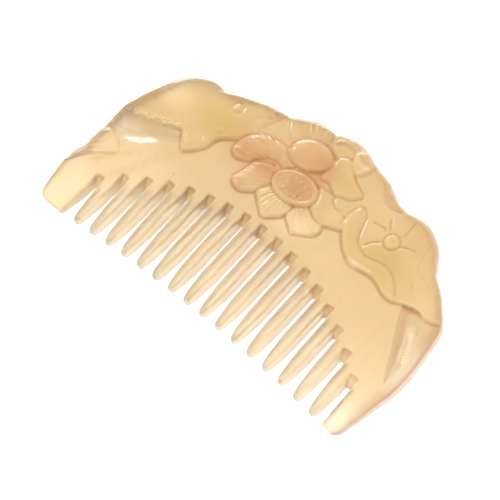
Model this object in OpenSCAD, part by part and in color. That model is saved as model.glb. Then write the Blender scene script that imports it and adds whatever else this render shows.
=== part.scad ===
// Horn comb carved from one flat plate: sixteen teeth between two broad guards, and along the spine
// a low relief of a lotus, a fish and a five-petalled flower. The comb lies on its flat back.

/* [Plate] */
// Thickness of the plate at the plain face
plate_t = 5.5; // [5:0.1:6]
// Height of the carved band's ground above the back
band_z = 6.5; // [6.2:0.1:6.8]
// Height of the bud, the highest point of the carving
crest_z = 8; // [7.8:0.1:8.4]

/* [Teeth] */
// Number of teeth between the guards
tooth_count = 16; // [16:1:16]
// Distance from one tooth's middle to the next
pitch = 6.25; // [6.2:0.01:6.3]
// Width of a gap at its root
gap_w = 2.6; // [2.4:0.1:2.8]
// Radius of the arc on which the gap roots lie
root_arc_r = 80; // [78:1:84]
// Height of the middle gap's root above the end teeth's tips
root_y = 32.7; // [32:0.1:33]
// Rise of the middle teeth's tips above the end teeth's tips
tip_rise = 2; // [1.5:0.1:2.5]
// How far a gap's end wall leans forward from the face to the back
root_slant = 2.8; // [2:0.1:3.2]

/* [Relief] */
// Height of the lotus petals
petal_z = 7.3; // [7.1:0.1:7.5]
// Height of the seed pod's rim
pod_z = 7.6; // [7.4:0.1:7.8]
// Height of the fish's back
fish_z = 7.3; // [7.1:0.1:7.5]
// Height of the stem and the rolled leaf
stem_z = 7.2; // [7:0.1:7.4]
// Height of the small flower's petals
flower_z = 7.2; // [7:0.1:7.4]
// Height of the fish's folded tail, beside the left scoop
fold_z = 5.9; // [5.8:0.05:6]
// Depth of the two scoops below the plain face
scoop_d = 2; // [1.5:0.1:2.2]

/* [Hidden] */
horn = "#EBC68C";
steps = 3; // straight sides to each span of a curve
far = 6; // how far a cutter reaches past the comb
overlap = 0.01; // by which neighbouring cutters overlap
reach = [70, 75]; // half length and height that clear the whole plate
sink = 1.2; // how deep a raised shape is rooted in the plate
layer = 0.25; // step between leaves that lie on each other

// The silhouette, in lobes that meet at notches: x along the comb from its middle, y up from the
// end teeth's tips. It runs from the left guard over the spine to the right guard.
left_guard = [[-59.6, -0.5], [-61.6, 0.7], [-62.4, 2.9], [-63.1, 7.7], [-63.7, 12.7], [-63.1, 16.6],
    [-61.2, 20.1]];
left_flank = [[-61.2, 20.1], [-61.1, 24.6], [-61.2, 29.6], [-60.6, 34.6], [-59.2, 38.6], [-57.7, 42.7],
    [-55.5, 47.2], [-54.1, 50.2]];
fish_tail_lobe = [[-54.1, 50.2], [-52.8, 52.5], [-49.3, 55.4], [-45.3, 57.3], [-42.2, 57.8], [-38.7, 57.2]];
fish_back_lobe = [[-38.7, 57.2], [-32.2, 59.7], [-26.2, 61.4], [-20.2, 62.4], [-17.6, 62.8]];
ribbed_lobe = [[-17.6, 62.8], [-14.2, 64.8], [-10.2, 66.6], [-6.2, 66.8], [-3.1, 66.4]];
crown_lobe = [[-3.1, 66.4], [-0.2, 67.8], [3.7, 68.7], [7.8, 68], [12, 66.2], [16.1, 65]];
saddle_lobe = [[16.1, 65], [19.1, 64.3], [22.9, 62.4], [26.3, 60.6]];
flower_lobe = [[26.3, 60.6], [29.4, 60.4], [33.4, 61.1], [37.3, 60.7], [40.6, 59], [43.5, 56.9], [46.1, 53.4],
    [48.2, 50.4]];
right_flank = [[48.2, 50.4], [52.1, 47.8], [54.9, 45], [58.1, 41.5], [59.3, 37.5], [60.3, 30.5], [60.8, 24.6],
    [60.5, 18.6], [59.3, 12.7], [57.6, 4.8], [56.6, 1.1], [55, -0.5]];
lobes = [left_guard, left_flank, fish_tail_lobe, fish_back_lobe, ribbed_lobe, crown_lobe, saddle_lobe,
    flower_lobe, right_flank];

// Lower border of the carved band, from the right flank back to the left flank.
band_border = [[58.1, 40.6], [57.2, 39.7], [54, 38.9], [51, 39.5], [46, 38.3], [42, 37.2], [38, 38.6],
    [33.3, 39.3], [27.7, 38.5], [23.3, 40.2], [21, 42.6], [19.4, 45.2], [16.3, 44], [13.9, 42.6],
    [13.3, 38.8], [10.4, 37], [7.4, 35.6], [4.6, 37.1], [2.1, 37.8], [-0.3, 35.7], [-2.7, 34.3], [-5.2, 35.5],
    [-9, 38.6], [-12.3, 36.8], [-14.3, 36.2], [-17, 37], [-18.4, 38.5], [-17.4, 42], [-17, 44.8],
    [-19, 44.2], [-21.3, 43.6], [-24.6, 45.3], [-25, 48], [-29.5, 44.8], [-31.2, 40.4], [-33.6, 37.6],
    [-36, 35.8], [-39.5, 39.5], [-41.5, 41], [-45, 39.7], [-49.8, 38.5], [-55.4, 35.9], [-60.6, 34.6]];

// Half width of a tooth at a distance from its tip.
DISTANCE = 0;
HALF_WIDTH = 1;
tooth_form = [[0, 0], [0.25, 0.68], [1, 1.08], [3, 1.33], [7, 1.6], [11, (pitch - gap_w) / 2]];

// The plate seen from the end: heights of its back and its face where the teeth grow thin.
ALONG = 0;
BACK = 1;
FACE = 2;
thinning = [[-2, 1.2, 4.1], [2, 0.8, 4.4], [7, 0.35, 4.8], [13, 0.08, 5.2], [20, 0, plate_t]];

// Raised shapes of the lotus, and whether each lies under its neighbours.
petal_far_left = [[-24.6, 45.3], [-21.4, 43.7], [-17.3, 45], [-14, 47.4], [-7, 49], [-5, 52], [-10.6, 55],
    [-16.6, 54.6], [-22, 52.8], [-24.4, 48.8]];
petal_left = [[-16.4, 45.6], [-18.3, 38.6], [-14.3, 36.4], [-9.5, 39], [-5.5, 43],
    [-6, 47], [-10, 49], [-14, 48]];
petal_front = [[-9.2, 39.5], [-6, 36.4], [-2.7, 34.5], [-0.2, 35.8], [2.2, 38.6],
    [3, 43], [-1, 45], [-6.5, 43.5]];
petal_right = [[2.4, 39.1], [5, 37], [7.5, 35.8], [11.3, 37.6], [13.6, 40.8],
    [12.5, 43], [8, 45.4], [2, 44.5]];
petal_far_right = [[5.8, 45.2], [10, 42.7], [14.5, 43.4], [19, 45.4], [16.6, 48],
    [12.6, 49], [9.6, 51.4], [4.6, 50.6]];
leaf_behind = [[3, 53.2], [10, 52], [14, 52.8], [16.4, 55.9], [12, 58.2],
    [9.2, 60.4], [6.4, 62.4], [3.2, 59.6]];
curled_leaf = [[6.4, 64.2], [7.6, 61.8], [10.8, 59.8], [13.2, 62.6], [12.4, 64.8], [9.4, 65.8]];
ribbed_leaf = [[-14.6, 62], [-12.4, 58.6], [-6, 59.4], [-2.7, 62.8], [-4.2, 65.4], [-9, 65.6], [-12.8, 64]];
upper_leaves = [petal_far_left, petal_front, petal_far_right, curled_leaf];
lower_leaves = [petal_left, petal_right, leaf_behind, ribbed_leaf];

// Oval shapes, a row for each: middle, half lengths, and turn about the middle.
MIDDLE = 0;
HALF = 1;
TURN = 2;
bud = [[-3.4, 57.2], [7, 4.8], 12];
pod = [[-0.5, 46.4], [7.8, 5.1], 4];

// The rest of the relief.
fish_body = [[-54, 40], [-48, 41.6], [-42, 43.4], [-36.5, 41.5], [-32.2, 42.2], [-29.6, 46.4], [-26, 50],
    [-22.5, 56], [-23.4, 60], [-31, 58.4], [-38.5, 55.8], [-46, 55.2], [-51.5, 50.5], [-54.6, 45]];
fish_fin = [[-39.4, 40], [-37.5, 37.2], [-34.8, 37], [-31.6, 40.4], [-32.5, 44], [-37, 44.5]];
fish_tail = [[-60.9, 27.2], [-57.6, 28.7], [-54.6, 26.6], [-51.5, 25.4], [-51.2, 23.3], [-54.8, 20.8],
    [-58.4, 19.4], [-60.8, 20.8]];
fish_eye = [-31.4, 55.2];
eye_r = 1.6;
right_leaf = [[47, 39.6], [51, 40.4], [56.6, 40.8], [54.2, 44.6], [49.6, 48], [45.2, 48], [44.6, 43]];
stem_path = [[18, 53], [20, 50.4], [21.4, 47.2], [22.7, 43.8], [25.4, 41.7], [29.4, 40.9], [34, 41.5],
    [38.5, 40.7], [43, 38.9]];
stem_w = 4.4;

// The small flower: directions of the grooves between its petals, and how far the petals reach.
flower_at = [33.1, 51.9];
flower_grooves = [18, 87, 135, 178, 228, 310];
flower_reach = 8.4;
button_r = 2.6;

// The scoops, in rows. A cone lies along a line from its deep end to its shallow end: the two ends, the
// cone's radii there, and the depths below the face there.
FROM = 0;
TO = 1;
RADII = 2;
DEPTHS = 3;
left_scoop = [[[-63.5, 28], [-39, 38.4], [4.5, 3.1], [scoop_d, 0.55 * scoop_d]]];
right_scoop = [
    [[50.6, 38.6], [55.9, 25.8], [4.4, 3.05], [scoop_d, 0.65 * scoop_d]],
    [[55.9, 25.8], [57.4, 15.6], [3.05, 0.9], [0.65 * scoop_d, 0]]
];

function between(a, b, c, d, t) =
    0.5 * (2 * b + (c - a) * t + (2 * a - 5 * b + 4 * c - d) * t * t + (3 * b - a - 3 * c + d) * t * t * t);

// An open smooth curve through points, without its last point.
function curve(p, n = steps) = let (e = len(p) - 1) [
    for (i = [0:e - 1])
        let (a = i > 0 ? p[i - 1] : 2 * p[0] - p[1], d = i < e - 1 ? p[i + 2] : 2 * p[e] - p[e - 1])
            for (k = [0:n - 1]) between(a, p[i], p[i + 1], d, k / n)
];

// A closed smooth curve through points.
function closed_curve(p, n = 2) = let (m = len(p)) [
    for (i = [0:m - 1])
        for (k = [0:n - 1]) between(p[(i + m - 1) % m], p[i], p[(i + 1) % m], p[(i + 2) % m], k / n)
];

function oval(row, n = 28) = [
    for (i = [0:n - 1])
        let (a = 360 * i / n, x = row[HALF].x * cos(a), y = row[HALF].y * sin(a), turn = row[TURN])
            row[MIDDLE] + [x * cos(turn) - y * sin(turn), x * sin(turn) + y * cos(turn)]
];

function middle(p) = [for (r = p) 1] * p / len(p);
function root_at(x) = root_y - root_arc_r + sqrt(root_arc_r * root_arc_r - x * x);
function tip_at(i) =
    let (u = 2 * abs(i - (tooth_count + 1) / 2) / (tooth_count - 1)) tip_rise * (1 - u * u);
function tooth_x(i) = (i - (tooth_count + 1) / 2) * pitch;

outline = concat([for (p = lobes) each curve(p)], [right_flank[len(right_flank) - 1]]);

// The part of the outline that the carved band takes in lies above the ends of its lower border.
band_low = [band_border[len(band_border) - 1].y, band_border[0].y];
spine = [for (p = outline) if (p.y > (p.x < 0 ? band_low[0] : band_low[1])) p];
xs = [for (p = outline) p.x];
ys = [for (p = outline) p.y];
centre = [(max(xs) + min(xs)) / 2, (max(ys) + min(ys)) / 2];

// One side of a tooth, from its tip up to its full width.
function tooth_side(i, side) = let (rows = curve(tooth_form, 4)) concat(
    [for (r = rows) [tooth_x(i) + side * r[HALF_WIDTH], tip_at(i) + r[DISTANCE]]],
    [[tooth_x(i) + side * (pitch - gap_w) / 2, tip_at(i) + tooth_form[len(tooth_form) - 1][DISTANCE]]]);

// Inner edge of a guard, whose corner is rounded; lean is how far it draws away from the teeth.
function guard_side(side, lean) = let (x = side * (tooth_count * pitch + gap_w) / 2)
    [[x + side * (lean + 1), -0.5], [x + side * (lean + 0.3), -0.1], [x + side * lean, 0.8],
        [x + side * lean / 2, 6], [x, 11]];

function reversed(p) = [for (i = [len(p) - 1:-1:0]) p[i]];

// Left side of the gap that lies to the left of tooth i + 1, and its right side.
function gap_left(i) = i == 0 ? guard_side(-1, 1) : tooth_side(i, 1);
function gap_right(i) = i == tooth_count ? guard_side(1, 0) : tooth_side(i + 1, -1);

module plan_of_gap(i) {
    x = tooth_x(i + 0.5);
    top = root_at(x) - root_slant;
    left = gap_left(i);
    right = gap_right(i);
    low_left = left[0] - [overlap, 0];
    low_right = right[0] + [overlap, 0];
    polygon(concat([[low_left.x, -far], low_left], left, [[x - gap_w / 2, top], [x + gap_w / 2, top]],
        reversed(right), [low_right, [low_right.x, -far]]));
}

module gap(i) {
    x = tooth_x(i + 0.5);
    y = root_at(x);
    translate([0, 0, -far])
        linear_extrude(plate_t + 2 * far) plan_of_gap(i);
    // The end wall leans, so the gap is longer at the face.
    translate([x - gap_w / 2, 0, 0])
        rotate([90, 0, 90])
            linear_extrude(gap_w)
                polygon([[y - root_slant - 1, -1], [y - root_slant, -1], [y - root_slant, 0], [y, plate_t],
                    [y, plate_t + 1], [y - root_slant - 1, plate_t + 1]]);
}

module thinned_side() {
    backs = [for (r = thinning) [r[ALONG], r[BACK]]];
    faces = [for (r = thinning) [r[ALONG], r[FACE]]];
    polygon(concat(backs, [[reach.y, 0], [reach.y, plate_t]], reversed(faces)));
}

module blank() {
    intersection() {
        linear_extrude(plate_t) polygon(outline);
        translate([-reach.x, 0, 0]) rotate([90, 0, 90]) linear_extrude(2 * reach.x) thinned_side();
    }
}

module scoop(row) {
    heights = [for (i = [0:1]) plate_t - row[DEPTHS][i] + row[RADII][i]];
    d = row[TO] - row[FROM];
    rise = atan((heights[1] - heights[0]) / norm(d));
    translate([row[FROM].x, row[FROM].y, heights[0]])
        rotate([0, 90 - rise, atan2(d.y, d.x)])
            cylinder(r1 = row[RADII][0], r2 = row[RADII][1], h = norm(d) / cos(rise), $fn = 48);
}

// A raised shape with a rounded edge over a closed outline. Its form has a row for each ring: its size
// as a share of the outline, and its height as a share of the rise.
SIZE = 0;
RISE = 1;
pillow = [[1, 0.25], [0.93, 0.6], [0.75, 0.86], [0.42, 0.98]];
rimmed = [[1, 0.45], [0.98, 0.85], [0.92, 1], [0.86, 0.75], [0.5, 0.8]];

module mound(border, low, high, form = pillow) {
    m = middle(border);
    n = len(border);
    rings = len(form);
    points = concat(
        [for (p = border) [p.x, p.y, low - sink]],
        [for (r = form) for (p = border)
            let (q = m + (p - m) * r[SIZE]) [q.x, q.y, low + (high - low) * r[RISE]]],
        [[m.x, m.y, low - sink], [m.x, m.y, high]]);
    bottom = n * (rings + 1);
    polyhedron(points, concat(
        [for (i = [0:n - 1]) [bottom, i, (i + 1) % n]],
        [for (k = [0:rings - 1]) for (i = [0:n - 1])
            let (a = k * n + i, b = k * n + (i + 1) % n) each [[a, a + n, b], [b, a + n, b + n]]],
        [for (i = [0:n - 1]) [bottom + 1, rings * n + (i + 1) % n, rings * n + i]]));
}

// A rounded ridge of even width along a path.
module ridge(path, w, low, high) {
    p = concat(curve(path, 2), [path[len(path) - 1]]);
    n = len(p);
    section = [[-0.5, -1], [-0.5, 0.2], [-0.32, 0.8], [0, 1], [0.32, 0.8], [0.5, 0.2], [0.5, -1]];
    s = len(section);
    points = [for (i = [0:n - 1])
        let (d = p[min(i + 1, n - 1)] - p[max(i - 1, 0)], side = [d.y, -d.x] / norm(d))
            for (c = section)
                let (q = p[i] + side * w * c.x) [q.x, q.y, c.y < 0 ? low - sink : low + (high - low) * c.y]];
    polyhedron(points, concat(
        [for (k = [1:s - 2]) [0, k, k + 1]],
        [for (i = [0:n - 2]) for (k = [0:s - 1])
            let (a = i * s + k, b = i * s + (k + 1) % s) each [[a, a + s, b], [b, a + s, b + s]]],
        [for (k = [1:s - 2]) [(n - 1) * s, (n - 1) * s + k + 1, (n - 1) * s + k]]));
}

module lotus() {
    for (p = lower_leaves) mound(closed_curve(p), band_z, petal_z - layer);
    for (p = upper_leaves) mound(closed_curve(p), band_z, petal_z);
    mound(oval(bud), band_z, crest_z);
    // The seed pod has a rim round a shallow hollow.
    mound(oval(pod), band_z, pod_z, rimmed);
}

module tail() {
    low = fold_z - 1.5 * sink;
    mound(closed_curve(fish_tail), low, fold_z);
}

module fish() {
    mound(closed_curve(fish_body), band_z, fish_z);
    mound(closed_curve(fish_fin), plate_t, fish_z - layer);
    translate([fish_eye.x, fish_eye.y, band_z])
        cylinder(r1 = eye_r, r2 = 0.7 * eye_r, h = fish_z + layer - band_z, $fn = 32);
}

module small_flower() {
    count = len(flower_grooves);
    for (i = [0:count - 1]) {
        first = flower_grooves[i];
        next = flower_grooves[(i + 1) % count] + (i == count - 1 ? 360 : 0);
        dir = (first + next) / 2;
        half = flower_reach * [0.48, 0.78 * sin((next - first) / 2)];
        at = flower_at + (flower_reach - half.x) * [cos(dir), sin(dir)];
        mound(oval([at, half, dir], 16), band_z, flower_z);
    }
    translate([flower_at.x, flower_at.y, petal_z + layer - button_r]) sphere(r = button_r, $fn = 40);
}

module band() {
    linear_extrude(band_z) polygon(concat(spine, curve(band_border, 2)));
}

module comb() {
    color(horn)
        translate([-centre.x, -centre.y, 0]) {
            difference() {
                union() {
                    difference() {
                        blank();
                        for (i = [0:tooth_count]) gap(i);
                        for (row = right_scoop) scoop(row);
                    }
                    band();
                    fish();
                }
                for (row = left_scoop) scoop(row);
            }
            tail();
            lotus();
            small_flower();
            ridge(stem_path, stem_w, band_z, stem_z);
            mound(closed_curve(right_leaf), band_z, petal_z - layer);
        }
}

comb();
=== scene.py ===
"""Looks of the carved horn comb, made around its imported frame."""
import math

import bpy
import numpy as np
from bpy.props import FloatProperty, IntProperty, PointerProperty, StringProperty
from mathutils import Matrix, Vector
from mathutils.geometry import delaunay_2d_cdt
from mathutils.kdtree import KDTree


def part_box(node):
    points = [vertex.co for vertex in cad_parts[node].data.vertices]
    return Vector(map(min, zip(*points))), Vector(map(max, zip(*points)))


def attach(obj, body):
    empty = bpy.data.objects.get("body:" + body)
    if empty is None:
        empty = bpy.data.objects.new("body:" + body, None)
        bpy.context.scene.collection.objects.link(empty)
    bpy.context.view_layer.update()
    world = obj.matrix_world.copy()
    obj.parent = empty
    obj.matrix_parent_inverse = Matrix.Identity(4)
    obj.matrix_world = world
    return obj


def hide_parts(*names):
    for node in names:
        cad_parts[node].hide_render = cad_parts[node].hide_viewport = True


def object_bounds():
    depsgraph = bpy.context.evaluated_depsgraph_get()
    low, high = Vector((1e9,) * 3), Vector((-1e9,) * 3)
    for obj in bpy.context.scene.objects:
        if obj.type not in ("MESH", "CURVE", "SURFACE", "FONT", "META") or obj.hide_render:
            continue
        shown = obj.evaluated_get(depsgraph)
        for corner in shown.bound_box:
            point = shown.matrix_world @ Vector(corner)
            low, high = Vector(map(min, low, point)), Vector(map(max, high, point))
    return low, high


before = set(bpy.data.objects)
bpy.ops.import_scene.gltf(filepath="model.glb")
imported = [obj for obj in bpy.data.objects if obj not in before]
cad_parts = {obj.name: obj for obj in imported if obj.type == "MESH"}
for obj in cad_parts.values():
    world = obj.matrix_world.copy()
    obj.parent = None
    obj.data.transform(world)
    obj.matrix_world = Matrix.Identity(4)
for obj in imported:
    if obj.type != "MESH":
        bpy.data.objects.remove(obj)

CAD_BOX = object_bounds()

bl_info = {
    "name": "Carved Horn Comb",
    "version": (1, 0, 0),
    "blender": (4, 5, 0),
    "location": "View3D > Sidebar > Horn Comb",
    "description": "Carves and finishes a lying comb of polished horn, with its stage",
    "category": "Add Mesh",
}

MM = 0.001

# The comb's outline in millimetres, in lobes that meet at notches: x along the comb from its middle, y up
# from the end teeth's tips. It runs from the left guard over the spine to the right guard.
OUTLINE = {
    "left_guard": [(-59.6, -0.5), (-61.6, 0.7), (-62.4, 2.9), (-63.1, 7.7), (-63.7, 12.7)],
    "left_ledge": [(-63.7, 12.7), (-63.1, 16.6), (-61.2, 20.1)],
    "left_flank": [(-61.2, 20.1), (-61.1, 24.6), (-61.2, 29.6), (-60.6, 34.6), (-59.2, 38.6), (-57.7, 42.7),
                   (-55.5, 47.2), (-54.1, 50.2)],
    "tail": [(-54.1, 50.2), (-52.8, 52.5), (-49.3, 55.4), (-45.3, 57.3), (-42.2, 57.8), (-38.7, 57.2)],
    "fish_back": [(-38.7, 57.2), (-32.2, 59.7), (-26.2, 61.4), (-20.2, 62.4), (-17.6, 62.8)],
    "ribbed": [(-17.6, 62.8), (-14.2, 64.8), (-10.2, 66.6), (-6.2, 66.8), (-3.1, 66.4)],
    "crown": [(-3.1, 66.4), (-0.2, 67.8), (3.7, 68.7), (7.8, 68), (12, 66.2), (16.1, 65)],
    "saddle": [(16.1, 65), (19.1, 64.3), (22.9, 62.4), (26.3, 60.6)],
    "flower": [(26.3, 60.6), (29.4, 60.4), (33.4, 61.1), (37.3, 60.7), (40.6, 59), (43.5, 56.9), (46.1, 53.4),
               (48.2, 50.4)],
    "right_flank": [(48.2, 50.4), (52.1, 47.8), (54.9, 45), (58.1, 41.5), (59.3, 37.5), (60.3, 30.5),
                    (60.8, 24.6), (60.5, 18.6), (59.3, 12.7), (57.6, 4.8), (56.6, 1.1), (55, -0.5)],
}

# How wide and how deep the face's edge is rounded over in the middle of each lobe, in millimetres.
LOBE_EDGES = {"left_guard": (0.6, 0.7), "left_ledge": (2.2, 1.2), "left_flank": (0.6, 0.7),
              "tail": (3.2, 0.8), "fish_back": (1.2, 1.4), "ribbed": (1.9, 2.1), "crown": (2.0, 2.2),
              "saddle": (1.8, 2.0), "flower": (1.9, 2.0), "right_flank": (1.4, 1.4)}

# Teeth, in millimetres. Half widths are given at distances from the tip.
TOOTH_COUNT = 16
PITCH = 6.25
GAP_WIDTH = 2.6
GAP_FILLET = 0.4
ROOT_RADIUS = 80
ROOT_Y = 32.7
TIP_RISE = 2
ROOT_SLANT = 2.8
TIP_HALF = 1.08
TIP_LENGTH = 1.3
TOOTH_DISTANCES = (TIP_LENGTH, 3, 7, 11)
TOOTH_HALVES = (TIP_HALF, 1.33, 1.6, 1.825)

# How wide and how deep a tooth's edges are rounded, and how much painted shade they get: the right one is
# scraped rounder than the left one, and the left one gets more painted shade, a brown line along it.
# EDGE_ROUNDING is the edge rounding that these are drawn for, and the user's own scales them.
TOOTH_RIGHT_EDGE = (0.95, 1.2, 0.1)
TOOTH_LEFT_EDGE = (0.55, 0.7, 0.65)
TIP_EDGE = (0.75, 1.8, 0.35)
EDGE_ROUNDING = 0.45

# The guards' low ends: how the face's and the back's edges are rounded, and the tones of painted shade and
# light.
GUARD_END = ((0.9, 1), (0.7, 0.7), (0.25, 0.5, 0, 0.5))

# How many times cloudier than a tooth the rim is, on each flank and along the top.
CLOUDY_RIGHT, CLOUDY_LEFT, CLOUDY_TOP = 3.5, 2, 1.3

# Heights of the back and the face where the teeth grow thin, along y.
THIN_ALONG = (-2, 2, 7, 13, 20)
THIN_BACK = (1.2, 0.8, 0.35, 0.08, 0)
THIN_FACE = (4.1, 4.4, 4.8, 5.2, 5.5)

# How much the carving has to bend, in millimetres, for the mesh to get twice as fine again, how much it
# counts as bent wherever a mask lies, and how far apart the plain back's points are.
BEND_LIMITS = (0.0006, 0.0018, 0.006)
MASK_BEND = 0.004
BACK_SPACING = 2.4

# The carved band's lower border, from the right flank to the left flank.
BAND_BORDER = [(59, 40.8), (57.2, 39.7), (54, 38.9), (51, 39.5), (46, 38.3), (42, 37.2), (38, 38.6),
               (33.3, 39.3), (27.7, 38.5), (23.3, 40.2), (21, 42.6), (19, 46.2), (12, 46), (4, 44),
               (-4, 44), (-12, 45), (-20, 47), (-25, 48), (-29.5, 44.8), (-31.2, 40.4), (-33.6, 37.6),
               (-36, 35.8), (-39.5, 39.5), (-41.5, 40), (-45, 38.2), (-49.8, 36.2), (-55.4, 33.6),
               (-58.6, 32.6), (-62, 32.4)]

# Leaves and petals of the lotus.
PETAL_FAR_LEFT = [(-24.7, 45.2), (-23, 43.7), (-21.2, 43.6), (-17.3, 45), (-14.6, 47.2), (-12, 48.7),
                  (-7, 49.4), (-5, 52), (-10.6, 55), (-16.6, 54.6), (-20.4, 53.8), (-23.4, 51),
                  (-24.6, 48.4)]
PETAL_LEFT = [(-16.3, 45.8), (-17.5, 41), (-18.4, 38.4), (-16.8, 36.9), (-14.3, 36.3), (-11.8, 37.2),
              (-9.3, 39.2), (-5.5, 43), (-6, 47), (-10, 49.6), (-14, 48.6)]
PETAL_FRONT = [(-9.3, 39.4), (-7.8, 37.7), (-5, 35.6), (-2.6, 34.3), (-0.2, 35.7), (2.1, 37.9), (3, 41),
               (2, 44), (-6.5, 43.5)]
PETAL_RIGHT = [(2.3, 39.3), (3.4, 37.9), (5.3, 36.8), (7.5, 35.6), (8.8, 36.2), (11.3, 37.5),
               (13.3, 38.8), (13.9, 41), (12.6, 43), (8, 45.4), (2, 44.5)]
PETAL_FAR_RIGHT = [(5.8, 45.2), (8.2, 43.3), (10, 42.4), (12.3, 42.3), (15, 43.4), (17.8, 44.4),
                   (19.3, 45.4), (18.3, 46.8), (16.5, 48.1), (14.8, 48.8), (12.6, 48.9), (11, 49.8),
                   (9.6, 51.4), (4.6, 50.6)]
LEAF_BEHIND = [(3, 53.6), (6, 53.4), (9.8, 51.6), (11.8, 52.4), (13.9, 52.8), (15.6, 54.2), (16.6, 56),
               (14.2, 57.3), (11.8, 58.3), (10, 59.8), (8.2, 61.4), (6, 62.6), (2.6, 60)]
CURLED_LEAF = [(6.2, 64.8), (6.6, 62.8), (8.2, 60.8), (10.8, 59.6), (12.4, 61.1), (13.6, 63.2),
               (13, 65.2), (10, 66.4), (7.4, 66.2)]
CROWN_LEAF = [(-2.6, 65.8), (-1, 62.6), (2.4, 60.6), (5.4, 61.2), (6.4, 63.6), (5.6, 66.4), (2, 67.6)]
RIBBED_LEAF = [(-16.8, 62.2), (-14.6, 58.6), (-10.6, 57), (-5, 59.4), (-2.3, 63.2), (-3.3, 66.2),
               (-8, 68), (-14, 66)]
BUD = dict(middle=(-3.8, 56.8), half=(6.9, 4.9), turn=12)
POD = dict(middle=(-0.5, 46.4), half=(7.8, 5.1), turn=4)

# How high the pod's foot and its rim stand above the comb's back.
POD_HEIGHTS = (6.6, 7.4)

# The fish, the stem, the small flower and the leaf on the right.
FISH = [(-62, 33), (-57.2, 33), (-55.4, 34), (-49.8, 38.5), (-45, 39.7), (-41.5, 41), (-38, 40.6),
        (-34, 41.5), (-31, 42.6), (-29.4, 45), (-25, 48.4), (-23.2, 52.6), (-20.2, 57.6), (-18, 63),
        (-20, 70), (-45, 70), (-66, 60)]
FISH_FIN = [(-40.8, 41.4), (-39.3, 38.6), (-37.2, 36.2), (-36, 35.4), (-34.4, 36.4), (-33, 37.8),
            (-31.8, 39.2), (-30.6, 41.6), (-31.4, 45), (-34, 47), (-38, 45.4)]
TAIL_FIN = [(-66, 11), (-63.2, 12.2), (-59.9, 16.4), (-56.2, 19.8), (-53, 21.9), (-51.4, 23.6),
            (-52.6, 25.4), (-55.7, 27.2), (-59.2, 27.9), (-61.2, 26.4), (-66, 25)]
STEM = [(16.8, 47.5), (18.8, 44.6), (21.2, 42), (23.8, 40.1), (26.8, 39.2), (30.7, 39.1), (34.2, 39.3),
        (36.8, 38.8), (40, 37.5), (42.7, 37.2), (44, 38), (41, 41.4), (37.9, 43.5), (34.5, 43.9),
        (29.9, 42.9), (27.8, 43.2), (25.2, 44.4), (23.7, 46.4), (22.7, 48.9), (21.6, 51.9), (19.7, 53.6),
        (17.6, 52.6)]
SMALL_FLOWER = (32.3, 50.5)
FLOWER_GROOVES = [[(33.3, 52.4), (33.9, 54.9), (33.9, 57.1), (33.8, 59.2)],
                  [(30.6, 52), (28.8, 53.9), (27.2, 56.4)],
                  [(29.6, 51.4), (27.6, 52.5), (25.9, 52.2), (23.2, 52.1)],
                  [(30.4, 49.2), (28.1, 47.6), (27.2, 46.3), (26.3, 44.4)],
                  [(34.4, 50.3), (37.3, 51.8), (40.4, 52.4)]]
BUTTON_RADIUS = 2.15

# Scoops: a channel follows each path, with its half widths to the left and the right of the path and its
# depths at even steps along it, and how softly its two borders run out. SCOOP_DEPTH is the scoop depth that
# these are drawn for, and the user's own scales them.
SCOOP_DEPTH = 2
LEFT_SCOOP = dict(path=[(-57, 30.6), (-52.3, 32.1), (-45.8, 35.5), (-39.9, 38.6)],
                  left=(2.7, 3.0, 1.85, 1.13), right=(3.0, 4.0, 3.1, 2.2), depths=(1.0, 1.6, 0.9, 0.55),
                  soft=(0.15, 0.06), power=1.25)
RIGHT_SCOOP = dict(path=[(48.2, 38.8), (50, 35.3), (51.9, 31.9), (53.6, 28.6), (55.3, 24.9), (56.4, 21.8),
                         (57.3, 18.9)],
                   left=(4.4, 4.7, 4.8, 4.3, 3.2, 2.0, 0.8), right=(1.9, 2.0, 2.1, 1.9, 1.7, 1.3, 0.5),
                   depths=(1.3, 1.7, 1.9, 1.8, 1.4, 0.8, 0.3), soft=(0.15, 0.1), power=1.5)

# Where a gouge chattered: paths, and how wide the marks lie.
CHATTER = [([(-57.8, 34.9), (-55.6, 35.6), (-52.5, 36.9), (-49.4, 38.4), (-46.6, 39.3), (-43.4, 40.4),
             (-40.6, 41.2)], 1.3),
           ([(52.6, 34.2), (54.6, 32), (56, 29.4), (57, 26.5), (57.4, 24.5)], 1.0),
           ([(6.8, 65), (8.8, 63.4), (11.4, 62.8)], 0.9)]

# Painted highlights: pale stripes where a lamp glints on the left scoop's lower edge, the right scoop's
# streak, the stem's lower border and the curled leaf, which are also made glossier and clearer: paths,
# widths, strengths.
PAINTED_HIGHLIGHTS = [([(-52.4, 29), (-50.4, 30.2), (-48.4, 31)], 1.2, 1.0),
           ([(-52.6, 28.8), (-50.4, 30), (-47.6, 31.3), (-45.4, 32.5)], 0.5, 0.8),
           ([(53, 33.8), (54.8, 31.8), (56, 29.4), (57, 26.5)], 0.9, 0.8),
           ([(26.3, 39.6), (28.6, 39.5), (30.9, 39.7), (33.6, 39.9)], 0.45, 0.8),
           ([(6.8, 65), (8.8, 63.4), (11.4, 62.8)], 0.8, 0.5)]

# Faint darker veins that run slantwise under the plate's left half: paths and widths.
VEINS = [([(-44.8, 21.2), (-40.5, 28.6), (-35.5, 36.6)], 1.1),
         ([(-50.9, 12.4), (-44.2, 23), (-37.6, 33.4)], 0.8),
         ([(-56.4, 17), (-51.5, 22.6), (-46, 27.4)], 0.9)]

# The oval that the pod's seeds lie in.
SEED_BED = dict(middle=(-0.9, 46.3), half=(5.2, 2.7))

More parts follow.
